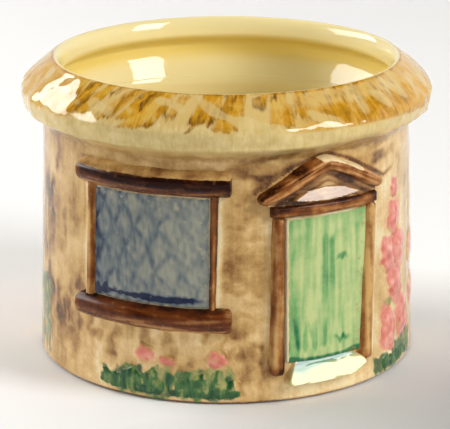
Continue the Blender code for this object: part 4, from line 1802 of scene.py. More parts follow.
@dataclass
class Window(Relief):
    """Pane, jambs, lintel and sill of the window."""

    pane_ends: Pair = (-14.0, 13.5)
    jambs: tuple[Upright, ...] = (
        Upright("window_jamb_left", (-15.05, -14.75), (2.3, 2.3), 0.8),
        Upright("window_jamb_right", (13.8, 14.3), (1.4, 1.7), 0.38),
    )
    beam_half: float = 17.8
    beam_relief: float = 2.75
    lattice: Pair = (2.7, 4.75)
    lintel: Beam = Beam(
        "window_lintel", 46.0, 5.4,
        (-1.0, -0.75, -0.4, -0.2, 0.35, 0.58, 1.0),
        (0.2, 0.62, 0.9, 0.98, 1.0, 0.86, 0.25),
        (0.66, 0.58, 0.32, 0.06, 0.01, 0.02, 0.1),
        0.56, 0.42, (0.6, 0.06),
    )
    sill: Beam = Beam(
        "window_sill", 16.3, 5.2,
        (-1.0, -0.8, -0.45, 0.0, 0.4, 0.75, 1.0),
        (0.2, 0.62, 0.9, 1.0, 0.98, 0.8, 0.45),
        (0.74, 0.72, 0.46, 0.4, 0.34, 0.26, 0.1),
        2.0, 0.0, (0.66, 0.55),
    )
    BEAM_FORM = Form(0.22, 0.8, 3.3, 0.7, 0.06)
    BEAM_HAND = Wobble(6, 12)
    BEAM_STREAK = Wobble(1.3, 14, (0.1, 0.1, 1.0))
    BEAM_CLOUD = Wobble(4, 13)
    SECTION_BLUR = 0.14
    LEFT_SHOULDER = 0.32
    SHOULDER_CHANGE = Shade(-17.0, -13.0)
    LEFT_LIFT = Shade(-4, -17)
    TONE_BLUR = 0.07
    TONE_FRAY = 0.04
    BEAM_BRUSH = Brush(1.0, 0.0, 0.4)
    BEAM_MOTTLE = 0.05
    LEFT_END = Shade(-15.6, -17.2)
    LEFT_END_TOP = Shade(0.7, 0.35)
    RIGHT_END = Shade(15.8, 17.0)
    BARE_SOFT = 0.06
    BARE_FRAY = 0.03
    BEAM_WASH = Brush(0.58, 0.16, 0.1)

    JAMB_HAND = Wobble(5, 15)
    JAMB_STREAK = Wobble(1.1, 16, (1.0, 1.0, 0.06))
    JAMB_FORM = Form(0.18, 0.4, 1.35, 1.1, 0.06)
    JAMB_OVERRUN = 1
    JAMB_BRUSH = Brush(0.0, 0.1, 0.14)
    LINE_FRAY = 0.1
    INNER_LINE = Stroke(0.7, 0.35, 0.4)
    OUTER_LINE = Stroke(-0.85, 0.25, 0.28)

    PANE_FORM = Form(0.28, 0.8, 0.55, 0.8)
    PANE_HAND = Wobble(8, 17)
    PANE_FINE = Wobble(2.0, 18)
    PANE_HAIRS = Wobble(0.9, 19, (1.0, 1.0, 0.3))
    LEAD_SWAY = Brush(0.0, 0.22, 0.05)
    LEAD = Shade(0.5, 0.02)
    LEAD_DEPTH = Shade(0.0, 1.5, 0.06)
    LEAD_DARK = 0.36
    LEAD_STRENGTH = Brush(0.66, 0.4, -0.25)
    LEAD_RANGE = (0.15, 1.1)
    PANE_BRUSH = Brush(0.8, 0.1, 0.15)
    PANE_FINE_SHARE = 0.07
    PANE_HAIR_SHARE = 0.08
    PANE_EDGE = Shade(2.2, 0.8, 0.34)
    EDGE_STRENGTH = Brush(0.6, 0.5, -0.3)
    EDGE_RANGE = (0.1, 1.0)
    FOOT_SWAY = 0.35
    FOOT_HEIGHT = 1.65
    FOOT_REACH = (0.34, 0.18)
    FOOT_LEAST = 0.16
    FOOT_SWELL = Shade(0.7, 0.2, 0.52)
    FOOT_SWELL_MIDDLE = 0.22
    FOOT_STROKE = Shade(1.6, 0.3)
    FOOT_END = Shade(1.0, 0.6)
    CORNER_PLACE = (-11.2, 1.9)
    CORNER_REACH = (3.2, 1.0)
    CORNER_DAB = Shade(1.2, 0.4, fray=0.35)
    STROKES_DARK = 1.25
    DARKEST_PANE = -0.4
    THIN_TOP = Shade(5, 1, 0.14)
    THIN_RIGHT = Shade(4, 1, 0.14)
    PANE_COVER = Shade(0.12, 0.45, fray=0.08)
    PANE_WASH = Brush(0.02, 0.04)

    def build(self) -> None:
        """Makes the window's pieces."""
        middle = self.half.value + WINDOW_ARC
        self.beam(middle, self.lintel)
        self.beam(middle, self.sill)
        low = self.sill.floor + self.sill.height
        for upright in self.jambs:
            self.jamb(middle, low, upright)
        self.pane(middle, low)

    def beam(self, arc: float, beam: Beam) -> None:
        """Makes a beam with a ledge-like section.

        Args:
            arc: Its middle.
            beam: Its section and paint.
        """
        half = beam.height / 2
        sheet = Sheet((arc, beam.floor + half), self.beam_half, half, step=self.BEAM_FORM.step)
        hand = self.BEAM_HAND(sheet.flat())
        streak = self.BEAM_STREAK(sheet.flat())
        depth = sheet.depth(self.BEAM_FORM, hand)
        up = sheet.across / half
        section = self.beam_relief * softened(up, beam.places, beam.rises, self.SECTION_BLUR)
        shoulder = blend(self.LEFT_SHOULDER, self.BEAM_FORM.shoulder, self.SHOULDER_CHANGE(sheet.along))
        rise = np.minimum(section, rounded(depth, self.BEAM_FORM.relief, shoulder))
        # Painted reflection of the floor: the tones run light on the underside and grow lighter towards the
        # left end; the dark band is paint.
        lifted = up - beam.left_lift * self.LEFT_LIFT(sheet.along) + self.TONE_FRAY * hand
        tone = softened(lifted, beam.places, beam.tones, self.TONE_BLUR)
        tone = tone * self.BEAM_BRUSH(hand, streak) + self.BEAM_MOTTLE * hand
        left = self.LEFT_END(sheet.along) * self.LEFT_END_TOP(up)
        tone = blend(blend(tone, beam.end_tones[0], left), beam.end_tones[1], self.RIGHT_END(sheet.along))
        painted = smooth(beam.bare + self.BARE_SOFT, beam.bare - self.BARE_SOFT, up + self.BARE_FRAY * hand)
        paint = self.BEAM_COVER(depth) * painted
        wash = self.BEAM_WASH(self.BEAM_CLOUD(sheet.flat()), streak)
        self.patch(beam.node, sheet, rise, Finish.TIMBER, paint=paint, tone=tone, wash=wash)

    def jamb(self, arc: float, low: float, upright: Upright) -> None:
        """Makes a jamb between the beams, with dark brush lines along its edges.

        Args:
            arc: The window's middle.
            low: Height of its foot.
            upright: Its place and width.
        """
        sheet = upright.sheet(arc, low, self.lintel.floor, self.JAMB_FORM.step)
        side, half = upright.side(sheet)
        form = self.JAMB_FORM
        depth = box_depth(side, sheet.across, half, sheet.half_across + self.JAMB_OVERRUN, form.corner)
        hand = self.JAMB_HAND(sheet.flat())
        streak = self.JAMB_STREAK(sheet.flat())
        rise = form.rise(depth + form.fray * hand)
        inner = -math.copysign(1.0, upright.middle[0]) * side / half + self.LINE_FRAY * hand
        tone = upright.tone + self.JAMB_BRUSH(hand, streak) - self.INNER_LINE(inner) - self.OUTER_LINE(inner)
        self.patch(upright.node, sheet, rise, Finish.POST, paint=self.FULL_COVER(depth), tone=tone)

    def pane(self, arc: float, low: float) -> None:
        """Makes the pane with its faint diamond lattice and a dark stroke along its foot.

        Args:
            arc: The window's middle.
            low: Height of its foot.
        """
        half_width = (self.pane_ends[1] - self.pane_ends[0]) / 2
        half_height = (self.lintel.floor - low) / 2
        middle = (arc + sum(self.pane_ends) / 2, low + half_height)
        sheet = Sheet(middle, half_width, half_height, step=self.PANE_FORM.step)
        depth = sheet.depth(self.PANE_FORM)
        hand = self.PANE_HAND(sheet.flat())
        fine = self.PANE_FINE(sheet.flat())
        hairs = self.PANE_HAIRS(sheet.flat())
        lead = np.zeros_like(depth)
        for side in (-1, 1):
            run = sheet.along / self.lattice[0] + side * sheet.across / self.lattice[1]
            lead = np.maximum(lead, self.LEAD(np.abs(wrapped(run + self.LEAD_SWAY(hand, fine), 2))))
        rise = self.PANE_FORM.rise(depth) - lead * self.LEAD_DEPTH(depth)
        side_on = sheet.along / half_width
        tone = self.PANE_BRUSH(hand, side_on) + self.PANE_FINE_SHARE * fine + self.PANE_HAIR_SHARE * hairs
        tone = tone - self.LEAD_DARK * lead * np.clip(self.LEAD_STRENGTH(hand, side_on), *self.LEAD_RANGE)
        edge = self.PANE_EDGE(half_width - np.abs(sheet.along))
        tone = tone - edge * np.clip(self.EDGE_STRENGTH(hand, side_on), *self.EDGE_RANGE)
        tone = tone - self.STROKES_DARK * self.pane_strokes(sheet, side_on, hand, fine)
        thin_top = self.THIN_TOP(half_height - sheet.across)
        thin = np.maximum(thin_top, self.THIN_RIGHT(half_width - sheet.along))
        paint = self.PANE_COVER(depth, fine) * (1 - thin)
        self.patch(
            "window_pane", sheet, rise, Finish.PANE, self.DARKEST_PANE, paint=paint, tone=tone,
            wash=self.PANE_WASH(hand),
        )

    def pane_strokes(
        self, sheet: Sheet, side_on: Array, hand: Array, fine: Array
    ) -> Array:
        """The dark stroke along the pane's foot and the dab in its left corner.

        Args:
            sheet: The pane's grid.
            side_on: Places along the pane, from -1 to 1.
            hand: The noise that bends the strokes.
            fine: The noise that frays them.

        Returns:
            How dark the strokes are, from 0 to 1.
        """
        up = sheet.across + sheet.half_across - self.FOOT_SWAY * hand
        reach = self.FOOT_REACH[0] + self.FOOT_REACH[1] * fine
        reach = reach + self.FOOT_SWELL(np.abs(side_on - self.FOOT_SWELL_MIDDLE))
        foot = self.FOOT_STROKE(np.abs(up - self.FOOT_HEIGHT) / np.maximum(reach, self.FOOT_LEAST))
        off_along = (sheet.along - self.CORNER_PLACE[0]) / self.CORNER_REACH[0]
        off_up = (up - self.CORNER_PLACE[1]) / self.CORNER_REACH[1]
        corner = self.CORNER_DAB(np.hypot(off_along, off_up), fine)
        return np.maximum(foot * self.FOOT_END(side_on), corner)


# Door and hood


@dataclass
class Door(Relief):
    """Leaf, posts, lintel and step of the door."""

    leaf_ends: Pair = (-9.3, 12.2)
    posts: tuple[Upright, ...] = (
        Upright("door_post_left", (-11.2, -10.75), (3.2, 2.8), 0.66),
        Upright("door_post_right", (10.4, 12.6), (3.6, 2.6), 0.9),
    )
    lintel_ends: Pair = (-12.6, 13.8)
    post_floor: float = 6.2
    step_floor: float = 4.6
    step_height: float = 4.2
    step_lean: float = 0.5
    lintel_floor: float = 41.2
    lintel_height: float = 2.9
    step_corners: tuple[Pair, ...] = (
        (-9.5, 4.7),
        (5.6, 4.7),
        (8.6, 5.7),
        (9.5, 6.8),
        (8.6, 7.9),
        (6.4, 8.9),
        (-7.2, 9.0),
        (-8.6, 7.0),
    )
    LEAF_FORM = Form(0.3, 0.5, 0.55, 0.4)
    LEAF_STROKES = Wobble(3.0, 41, (1.0, 1.0, 0.1))
    LEAF_HAIRS = Wobble(1.2, 42, (1.0, 1.0, 0.08))
    LEAF_HAND = Wobble(9, 43)
    LEAF_GROOVES = Shade(0.0, 1.0, 0.03)
    LEAF_BRUSH = Brush(0.84, 0.08, 0.1)
    LEAF_HAIR_SHARE = 0.12
    HAIR_REACH = 0.8
    LEAF_TOP = Shade(3.4, 0.3, 0.26)
    LEAF_FOOT = Shade(1.1, 0.6, 0.85)
    FOOT_CURVE = Shade(4.5, 7.5, 0.5)
    FOOT_MIDDLE = -0.5
    EDGE_PLACE = -7.4
    EDGE_WIDTH = 1.2
    EDGE_SIDE = Shade(1.2, 0.5)
    EDGE_END = Shade(27, 23)
    EDGE_DARK = Brush(0.32, 0.25)
    GROOVE_PLACES = (-0.1, 1.6)
    GROOVE_WIDTH = 0.8
    GROOVE_SIDE = Shade(1.3, 0.5)
    GROOVE_HEIGHT = Band(11, 18, 27, 29)
    GROOVE_DARK = Brush(0.42, 0.2)
    LOW_STROKES = Band(2.5, 4, 7, 11)
    LOW_SIDE = Shade(2.5, 0.5)
    LOW_DARK = Brush(0.1, 0.7)
    LOW_DARKEST = 0.55
    HINGES = ((30.8, 1.8), (12.8, 2.5))
    HINGE_PLACE = 4.1
    HINGE_FRAY = 0.5
    HINGE_HALF = 0.9
    HINGE_DAB = Shade(1.1, 0.4, 0.62)
    OLIVE = Shade(6.5, 10)
    OLIVE_LEAN = 0.06
    OLIVE_THIN = 0.18
    OLIVE_WASH = 0.7
    LEAF_COVER = Shade(0.42, 0.8, fray=0.06)
    LEAF_WASH = Brush(0.02, 0.04)

    POST_OVERRUN = 0.5
    POST_HAND = Wobble(7, 45)
    POST_STREAK = Wobble(1.2, 46, (1.0, 1.0, 0.05))
    POST_FORM = Form(0.18, 1.2, 1.95, 1.5, 0.08)
    POST_BRUSH = Brush(0.0, 0.1, 0.16)
    POST_EDGE = Shade(0.7, 0.25, 0.16)
    POST_RIGHT = Shade(0.4, 0.85, 0.62, 0.1)
    POST_END_FRAY = 0.5
    POST_FOOT = Shade(3.4, 1.2, 0.45)
    POST_LOW = Shade(22, 8, 0.1)
    POST_HEAD = Shade(1.6, 0.4, 0.3)

    LINTEL_FORM = Form(0.2, 0.6, 2.0, 0.8, 0.06)
    LINTEL_HAND = Wobble(6, 48)
    LINTEL_STREAK = Wobble(1.0, 49, (0.12, 0.12, 1.0))
    LINTEL_BRUSH = Brush(0.5, 0.08, 0.18)
    LINTEL_UP_FRAY = 0.12
    LINTEL_TOP = Shade(0.05, 0.75, 0.3)
    LINTEL_UNDER = Shade(-0.6, -0.95, 0.12)
    LINTEL_END = Shade(3.2, 0.8, 0.4, 0.8)

    STEP_FORM = Form(0.2, 0.45, 4.2, 1.0)
    STEP_HAND = Wobble(5, 50)
    STEP_GROWTH = Brush(0.4, 0.05)
    STEP_TOP_FRAY = 0.2
    STEP_RISE = Brush(0.3, 0.02)
    STEP_ROUND = Shade(1.3, 0.2, 0.3)
    STEP_WET = Shade(1.9, 1.0, 0.52)
    STEP_WET_FALL = Shade(-3, 3, 0.9)
    STEP_BACK = Shade(0.6, 0.2, 0.4)
    STEP_BRUSH = Brush(0.9, 0.08)
    STEP_COVER = Shade(0.0, 0.4)

    def build(self) -> None:
        """Makes the door's pieces."""
        middle = self.half.value + DOOR_ARC
        self.leaf(middle)
        for upright in self.posts:
            self.post(middle, upright)
        self.lintel(middle)
        self.step(middle)

    def leaf(self, arc: float) -> None:
        """Makes the door leaf with its upright strokes.

        Args:
            arc: The door's middle.
        """
        low = self.step_floor + self.step_height
        half_width = (self.leaf_ends[1] - self.leaf_ends[0]) / 2
        half_height = (self.lintel_floor - low) / 2
        middle = (arc + sum(self.leaf_ends) / 2, low + half_height)
        sheet = Sheet(middle, half_width, half_height, step=self.LEAF_FORM.step)
        depth = sheet.depth(self.LEAF_FORM)
        hairs = self.LEAF_HAIRS(sheet.flat())
        hand = self.LEAF_HAND(sheet.flat())
        rise = self.LEAF_FORM.rise(depth) + hairs * self.LEAF_GROOVES(depth)
        x = sheet.arc - arc
        from_top = half_height - sheet.across
        tone = self.LEAF_BRUSH(hand, self.LEAF_STROKES(sheet.flat())) + self.LEAF_HAIR_SHARE * hairs
        foot = sheet.across + half_height - self.FOOT_CURVE(np.abs(x - self.FOOT_MIDDLE))
        tone = tone - self.LEAF_TOP(from_top) - self.LEAF_FOOT(foot) - self.leaf_strokes(sheet, x, hairs)
        olive = self.OLIVE(x + self.OLIVE_LEAN * from_top)
        bound = np.minimum(half_width - np.abs(sheet.along), from_top)
        paint = self.LEAF_COVER(bound, hairs) * (1 - self.OLIVE_THIN * olive)
        wash = self.LEAF_WASH(hand) + self.OLIVE_WASH * olive
        self.patch("door_leaf", sheet, rise, Finish.DOOR, paint=paint, tone=tone, wash=wash)

    def leaf_strokes(self, sheet: Sheet, x: Array, hairs: Array) -> Array:
        """Dark strokes on the leaf: along its left edge, in its middle, low down and as two hinge dabs.

        Args:
            sheet: The leaf's grid.
            x: Distances from the door's middle.
            hairs: The noise that frays the strokes.

        Returns:
            How much darker the strokes are.
        """
        up = sheet.across + sheet.half_across + self.HAIR_REACH * hairs
        edge = self.EDGE_SIDE(np.abs(x - self.EDGE_PLACE) / self.EDGE_WIDTH) * self.EDGE_END(up)
        dark = self.EDGE_DARK(hairs) * edge
        for place in self.GROOVE_PLACES:
            groove = self.GROOVE_SIDE(np.abs(x - place) / self.GROOVE_WIDTH) * self.GROOVE_HEIGHT(up)
            dark = dark + self.GROOVE_DARK(hairs) * groove
        low = self.LOW_STROKES(up) * self.LOW_SIDE(x)
        dark = dark + np.clip(self.LOW_DARK(hairs), 0, self.LOW_DARKEST) * low
        for z, half in self.HINGES:
            off_z = (sheet.z - z + self.HINGE_FRAY * hairs) / self.HINGE_HALF
            dark = dark + self.HINGE_DAB(np.hypot((x - self.HINGE_PLACE) / half, off_z))
        return dark

    def post(self, arc: float, upright: Upright) -> None:
        """Makes a flattened post with a round dark foot and a dark line along its right side.

        Args:
            arc: The door's middle.
            upright: Its place, width and tone.
        """
        form = self.POST_FORM
        sheet = upright.sheet(arc, self.post_floor, self.lintel_floor + self.POST_OVERRUN, form.step)
        side, half = upright.side(sheet)
        hand = self.POST_HAND(sheet.flat())
        depth = box_depth(side, sheet.across, half, sheet.half_across, form.corner) + form.fray * hand
        tone = upright.tone + self.POST_BRUSH(hand, self.POST_STREAK(sheet.flat())) - self.POST_EDGE(depth)
        tone = tone - self.POST_RIGHT(side / half, hand)
        low = sheet.across + sheet.half_across + self.POST_END_FRAY * hand
        tone = tone - self.POST_FOOT(low) - self.POST_LOW(low) - self.POST_HEAD(2 * sheet.half_across - low)
        self.patch(
            upright.node, sheet, form.rise(depth), Finish.POST, paint=self.FULL_COVER(depth), tone=tone
        )

    def lintel(self, arc: float) -> None:
        """Makes the lintel that lies on the posts, dark at both ends and along its top.

        Args:
            arc: The door's middle.
        """
        half = self.lintel_height / 2
        half_width = (self.lintel_ends[1] - self.lintel_ends[0]) / 2
        middle = (arc + sum(self.lintel_ends) / 2, self.lintel_floor + half)
        sheet = Sheet(middle, half_width, half, step=self.LINTEL_FORM.step)
        hand = self.LINTEL_HAND(sheet.flat())
        depth = sheet.depth(self.LINTEL_FORM, hand)
        rise = self.LINTEL_FORM.rise(depth)
        up = sheet.across / half + self.LINTEL_UP_FRAY * hand
        tone = self.LINTEL_BRUSH(hand, self.LINTEL_STREAK(sheet.flat()))
        tone = tone - self.LINTEL_TOP(up) - self.LINTEL_UNDER(up)
        tone = tone - self.LINTEL_END(half_width - np.abs(sheet.along), hand)
        self.patch("door_lintel", sheet, rise, Finish.RAFTER, paint=self.BEAM_COVER(depth), tone=tone)

    def step(self, arc: float) -> None:
        """Makes the flat sloping step with its soft ends and a darker turquoise edge along its top.

        Args:
            arc: The door's middle.
        """
        half = self.step_height / 2
        half_width = max(place for place, _ in self.step_corners)
        sheet = Sheet((arc, self.step_floor + half), half_width, half, step=self.STEP_FORM.step)
        hand = self.STEP_HAND(sheet.flat())
        depth = outline_depth(sheet.along, sheet.z, self.step_corners, self.STEP_FORM.corner)
        depth = depth + self.STEP_GROWTH(hand)
        top = self.step_floor + self.step_height - sheet.z + self.STEP_TOP_FRAY * hand
        slope = self.STEP_RISE(hand) + (half - sheet.across) * self.step_lean + facet(sheet.along)
        slope = np.minimum(slope - self.STEP_ROUND(top), self.STEP_FORM.rise(depth))
        top_edge = self.STEP_WET(top + self.STEP_WET_FALL(sheet.along))
        tone = self.STEP_BRUSH(hand) - top_edge - self.STEP_BACK(top)
        rise = np.where(depth > 0, slope, -SINK)
        self.patch("door_step", sheet, rise, Finish.STEP, paint=self.STEP_COVER(depth), tone=tone)


@dataclass
class Hood(Relief):
    """The two rafters over the door and the weathered panel under them."""

    floor: float = 44.3
    ridge: float = 52.0
    ridge_round: float = 1.8
    left_foot: Pair = (-13.9, 45.4)
    right_foot: Pair = (13.6, 46.0)
    thick: Pair = (1.9, 1.6)
    relief: float = 2.5
    lens_half: float = 8.3
    lens_tip: float = 0.8
    lens_height: float = 2.8
    lens_lean: float = 0.52
    SAG = 0.2
    NARROW = Shade(-8, -13.5, 0.28)
    THINNER = Shade(-5, 2)
    RAFTER_STEP = 0.2
    RAFTER_LIFT = 0.5
    RAFTER_MARGINS = (0.6, 1.0)
    RAFTER_HAND = Wobble(6, 60)
    RAFTER_STREAK = Wobble(1.0, 61, (0.12, 1.0, 1.0))
    RAFTER_COMB = Wobble(0.55, 62, (0.06, 1.0, 1.0))
    RAFTER_FRAY = 0.1
    RAFTER_SHOULDER = 1.0
    RIDGE_LAP = 0.25
    BARE_LEVEL = 0.46
    BARE_LEFT = Shade(-1, -3.5, 1.2)
    BARE_RIGHT = Shade(8, 11, 1.2)
    BARE_SOFT = 0.12
    BARE_FRAY = 0.08
    BARE_WASH = 0.06
    SPILL = Shade(0.0, 0.5, 0.35)
    SPILL_LEFT = Shade(-1, -3)
    RAFTER_BRUSH = Brush(0.58, 0.08, 0.24)
    DARK_TOP = Shade(-0.1, 0.5, 0.62)
    DARK_LEFT = Shade(-2, -5)
    LIGHT_RIGHT = Shade(0.0, 2, 0.08)
    LIGHT_FOOT = Shade(9, 12, 0.2)
    DARK_UNDER = Shade(-0.55, -0.95, 0.16)
    LIGHT_SIDE = Shade(0.0, -3)
    LIGHT_STROKE = Stroke(-0.35, 0.3, 0.16)
    SMUDGE_SIDE = Band(1.5, 4, 8.5, 11)
    SMUDGE = Stroke(0.05, 0.4, 0.36)
    CURL = Stroke(0.8, 0.22)
    CURL_DARK = (0.26, 0.09)
    CURL_END = Shade(1.5, -0.5)

    PANEL_STEP = 0.12
    PANEL_INSET = 0.5
    PANEL_FLOOR = 0.5
    PANEL_HAND = Wobble(5, 63)
    PANEL_STREAK = Wobble(1.1, 64, (0.12, 1.0, 1.0))
    LENS_MIDDLE = -0.2
    LENS_EDGE = Shade(-0.18, 0.18)
    LENS_RISE = 2.2
    HOLLOW_RISE = Brush(1.25, 0.05)
    PANEL_RELIEF = 3.4
    PANEL_SHOULDER = 0.5
    PANEL_BRUSH = Brush(0.24, 0.1, 0.42)
    LENS_LIGHT = 0.32
    PANEL_SHADE = Shade(2.6, 1.8, 0.25)
    PANEL_COVER = Shade(0.0, 0.3)

    def build(self) -> None:
        """Makes the hood's pieces."""
        for node, side in (("hood_rafter_left", -1), ("hood_rafter_right", 1)):
            self.rafter(node, side)
        self.tympanum()

    @property
    def middle(self) -> float:
        """Arc of the hood's middle."""
        return self.half.value + DOOR_ARC

    def slope(self, foot: Pair) -> list[Pair]:
        """Middle line of one rafter, level at the ridge and falling to its foot.

        Args:
            foot: Its foot, as distance from the middle and height.

        Returns:
            Points from the ridge to the foot.
        """
        handle = (math.copysign(self.ridge_round, foot[0]), self.ridge)
        halfway = ((foot[0] + handle[0]) / 2, (foot[1] + self.ridge) / 2 - self.SAG)
        return [*curve((0.0, self.ridge), handle, halfway, foot, count=10), foot]

    @property
    def line(self) -> list[Pair]:
        """Middle line of both rafters, from the left foot to the right one."""
        return self.slope(self.left_foot)[:0:-1] + self.slope(self.right_foot)

    def over(self, off: Array, z: Array) -> Array:
        """Distance of points above the rafters' middle line, negative below it."""
        return line_gap(off, z, self.line) * np.sign(z - np.interp(off, *zip(*self.line)))

    def thickness(self, off: Array) -> Array:
        """Half the depth of the rafters at a distance from the door's middle."""
        return (1 - self.NARROW(off)) * blend(*self.thick, self.THINNER(off))

    @staticmethod
    def beside(along: Array, gap: Array) -> Array:
        """Points of a plane, from a distance along the rafters and one across them."""
        return np.stack((along, gap, np.zeros_like(gap)), axis=-1)

    def rafter(self, node: str, side: int) -> None:
        """Makes one rafter, from the rounded ridge down to its rolled foot.

        Args:
            node: Its node.
            side: -1 for the left one and 1 for the right one.
        """
        foot = self.left_foot if side < 0 else self.right_foot
        fall = self.ridge - foot[1]
        thick = max(self.thick)
        middle = (self.middle + foot[0] / 2, (self.ridge + foot[1]) / 2 + self.RAFTER_LIFT)
        half = math.hypot(foot[0], fall) / 2 + thick + self.RAFTER_MARGINS[0]
        turn = -side * math.atan2(fall, abs(foot[0]))
        sheet = Sheet(middle, half, thick + self.RAFTER_MARGINS[1], turn, self.RAFTER_STEP)
        off = sheet.arc - self.middle
        hand = self.RAFTER_HAND(sheet.flat())
        gap = self.over(off, sheet.z)
        up = gap / self.thickness(off)
        depth = self.thickness(off) - np.abs(gap) + self.RAFTER_FRAY * hand
        own = side * off + self.RIDGE_LAP > 0
        rise = np.where(own, rounded(depth, self.relief, self.RAFTER_SHOULDER), -SINK)
        # Painted highlight: a strip of bare cream along the top edge, from the ridge down the right rafter.
        bare = self.BARE_LEVEL + self.BARE_LEFT(off) + self.BARE_RIGHT(off)
        highlight_strip = smooth(bare - self.BARE_SOFT, bare + self.BARE_SOFT, up + self.BARE_FRAY * hand)
        spill = self.SPILL(up) * self.SPILL_LEFT(off)
        paint = self.BEAM_COVER(depth + spill) * (1 - highlight_strip)
        plane = self.beside(sheet.along, gap)
        tone = self.RAFTER_BRUSH(hand, self.RAFTER_STREAK(plane) + self.RAFTER_COMB(plane))
        tone = tone - self.DARK_TOP(up) * self.DARK_LEFT(off) * uneven(hand) - self.DARK_UNDER(up)
        tone = tone + self.LIGHT_RIGHT(off) + self.LIGHT_FOOT(off)
        tone = tone + self.LIGHT_SIDE(off) * self.LIGHT_STROKE(up)
        tone = tone - self.SMUDGE_SIDE(off) * self.SMUDGE(up) * uneven(hand)
        curl = np.hypot(off - foot[0], sheet.z - foot[1]) / thick
        dark = (self.CURL_DARK[0] + self.CURL_DARK[1] * side) * self.CURL(curl)
        tone = tone - dark * self.CURL_END(side * (foot[0] - off))
        wash = blend(WASH(sheet.arc, sheet.z), self.BARE_WASH, highlight_strip)
        self.patch(node, sheet, rise, Finish.RAFTER, paint=paint, tone=tone, wash=wash)

    def tympanum(self) -> None:
        """Makes the panel: a flat lens that leans back, under a streaked hollow band."""
        half = (self.ridge - self.floor) / 2
        reach = self.right_foot[0] - self.PANEL_INSET
        sheet = Sheet((self.middle, self.floor + half), reach, half, step=self.PANEL_STEP)
        up = sheet.z - self.floor
        under = -self.over(sheet.along, sheet.z)
        depth = np.minimum(up + self.PANEL_FLOOR, under)
        hand = self.PANEL_HAND(sheet.flat())
        bow = ((sheet.along - self.LENS_MIDDLE) / self.lens_half) ** 2
        arch = self.lens_height - (self.lens_height - self.lens_tip) * bow
        inside = self.LENS_EDGE(arch - up) * self.LENS_EDGE(up - self.lens_tip * bow)
        lens = self.LENS_RISE - up * self.lens_lean + facet(sheet.along)
        face = blend(self.HOLLOW_RISE(hand), lens, inside)
        rise = np.minimum(rounded(depth, self.PANEL_RELIEF, self.PANEL_SHOULDER), face)
        streak = self.PANEL_STREAK(self.beside(sheet.along, under)) * (1 - inside)
        # Painted highlight: the lens is lighter; painted shade: the panel darkens just under the rafters.
        tone = self.PANEL_BRUSH(hand, streak) + self.LENS_LIGHT * inside - self.PANEL_SHADE(under)
        self.patch("hood_tympanum", sheet, rise, Finish.PANEL, paint=self.PANEL_COVER(depth), tone=tone)


# Plants


@dataclass(frozen=True)
class Growth:
    """A bloom or a clump of leaves: its node, its middle, its size, its rise and its seed."""

    node: str
    arc: float
    z: float
    width: float
    height: float
    relief: float
    seed: int


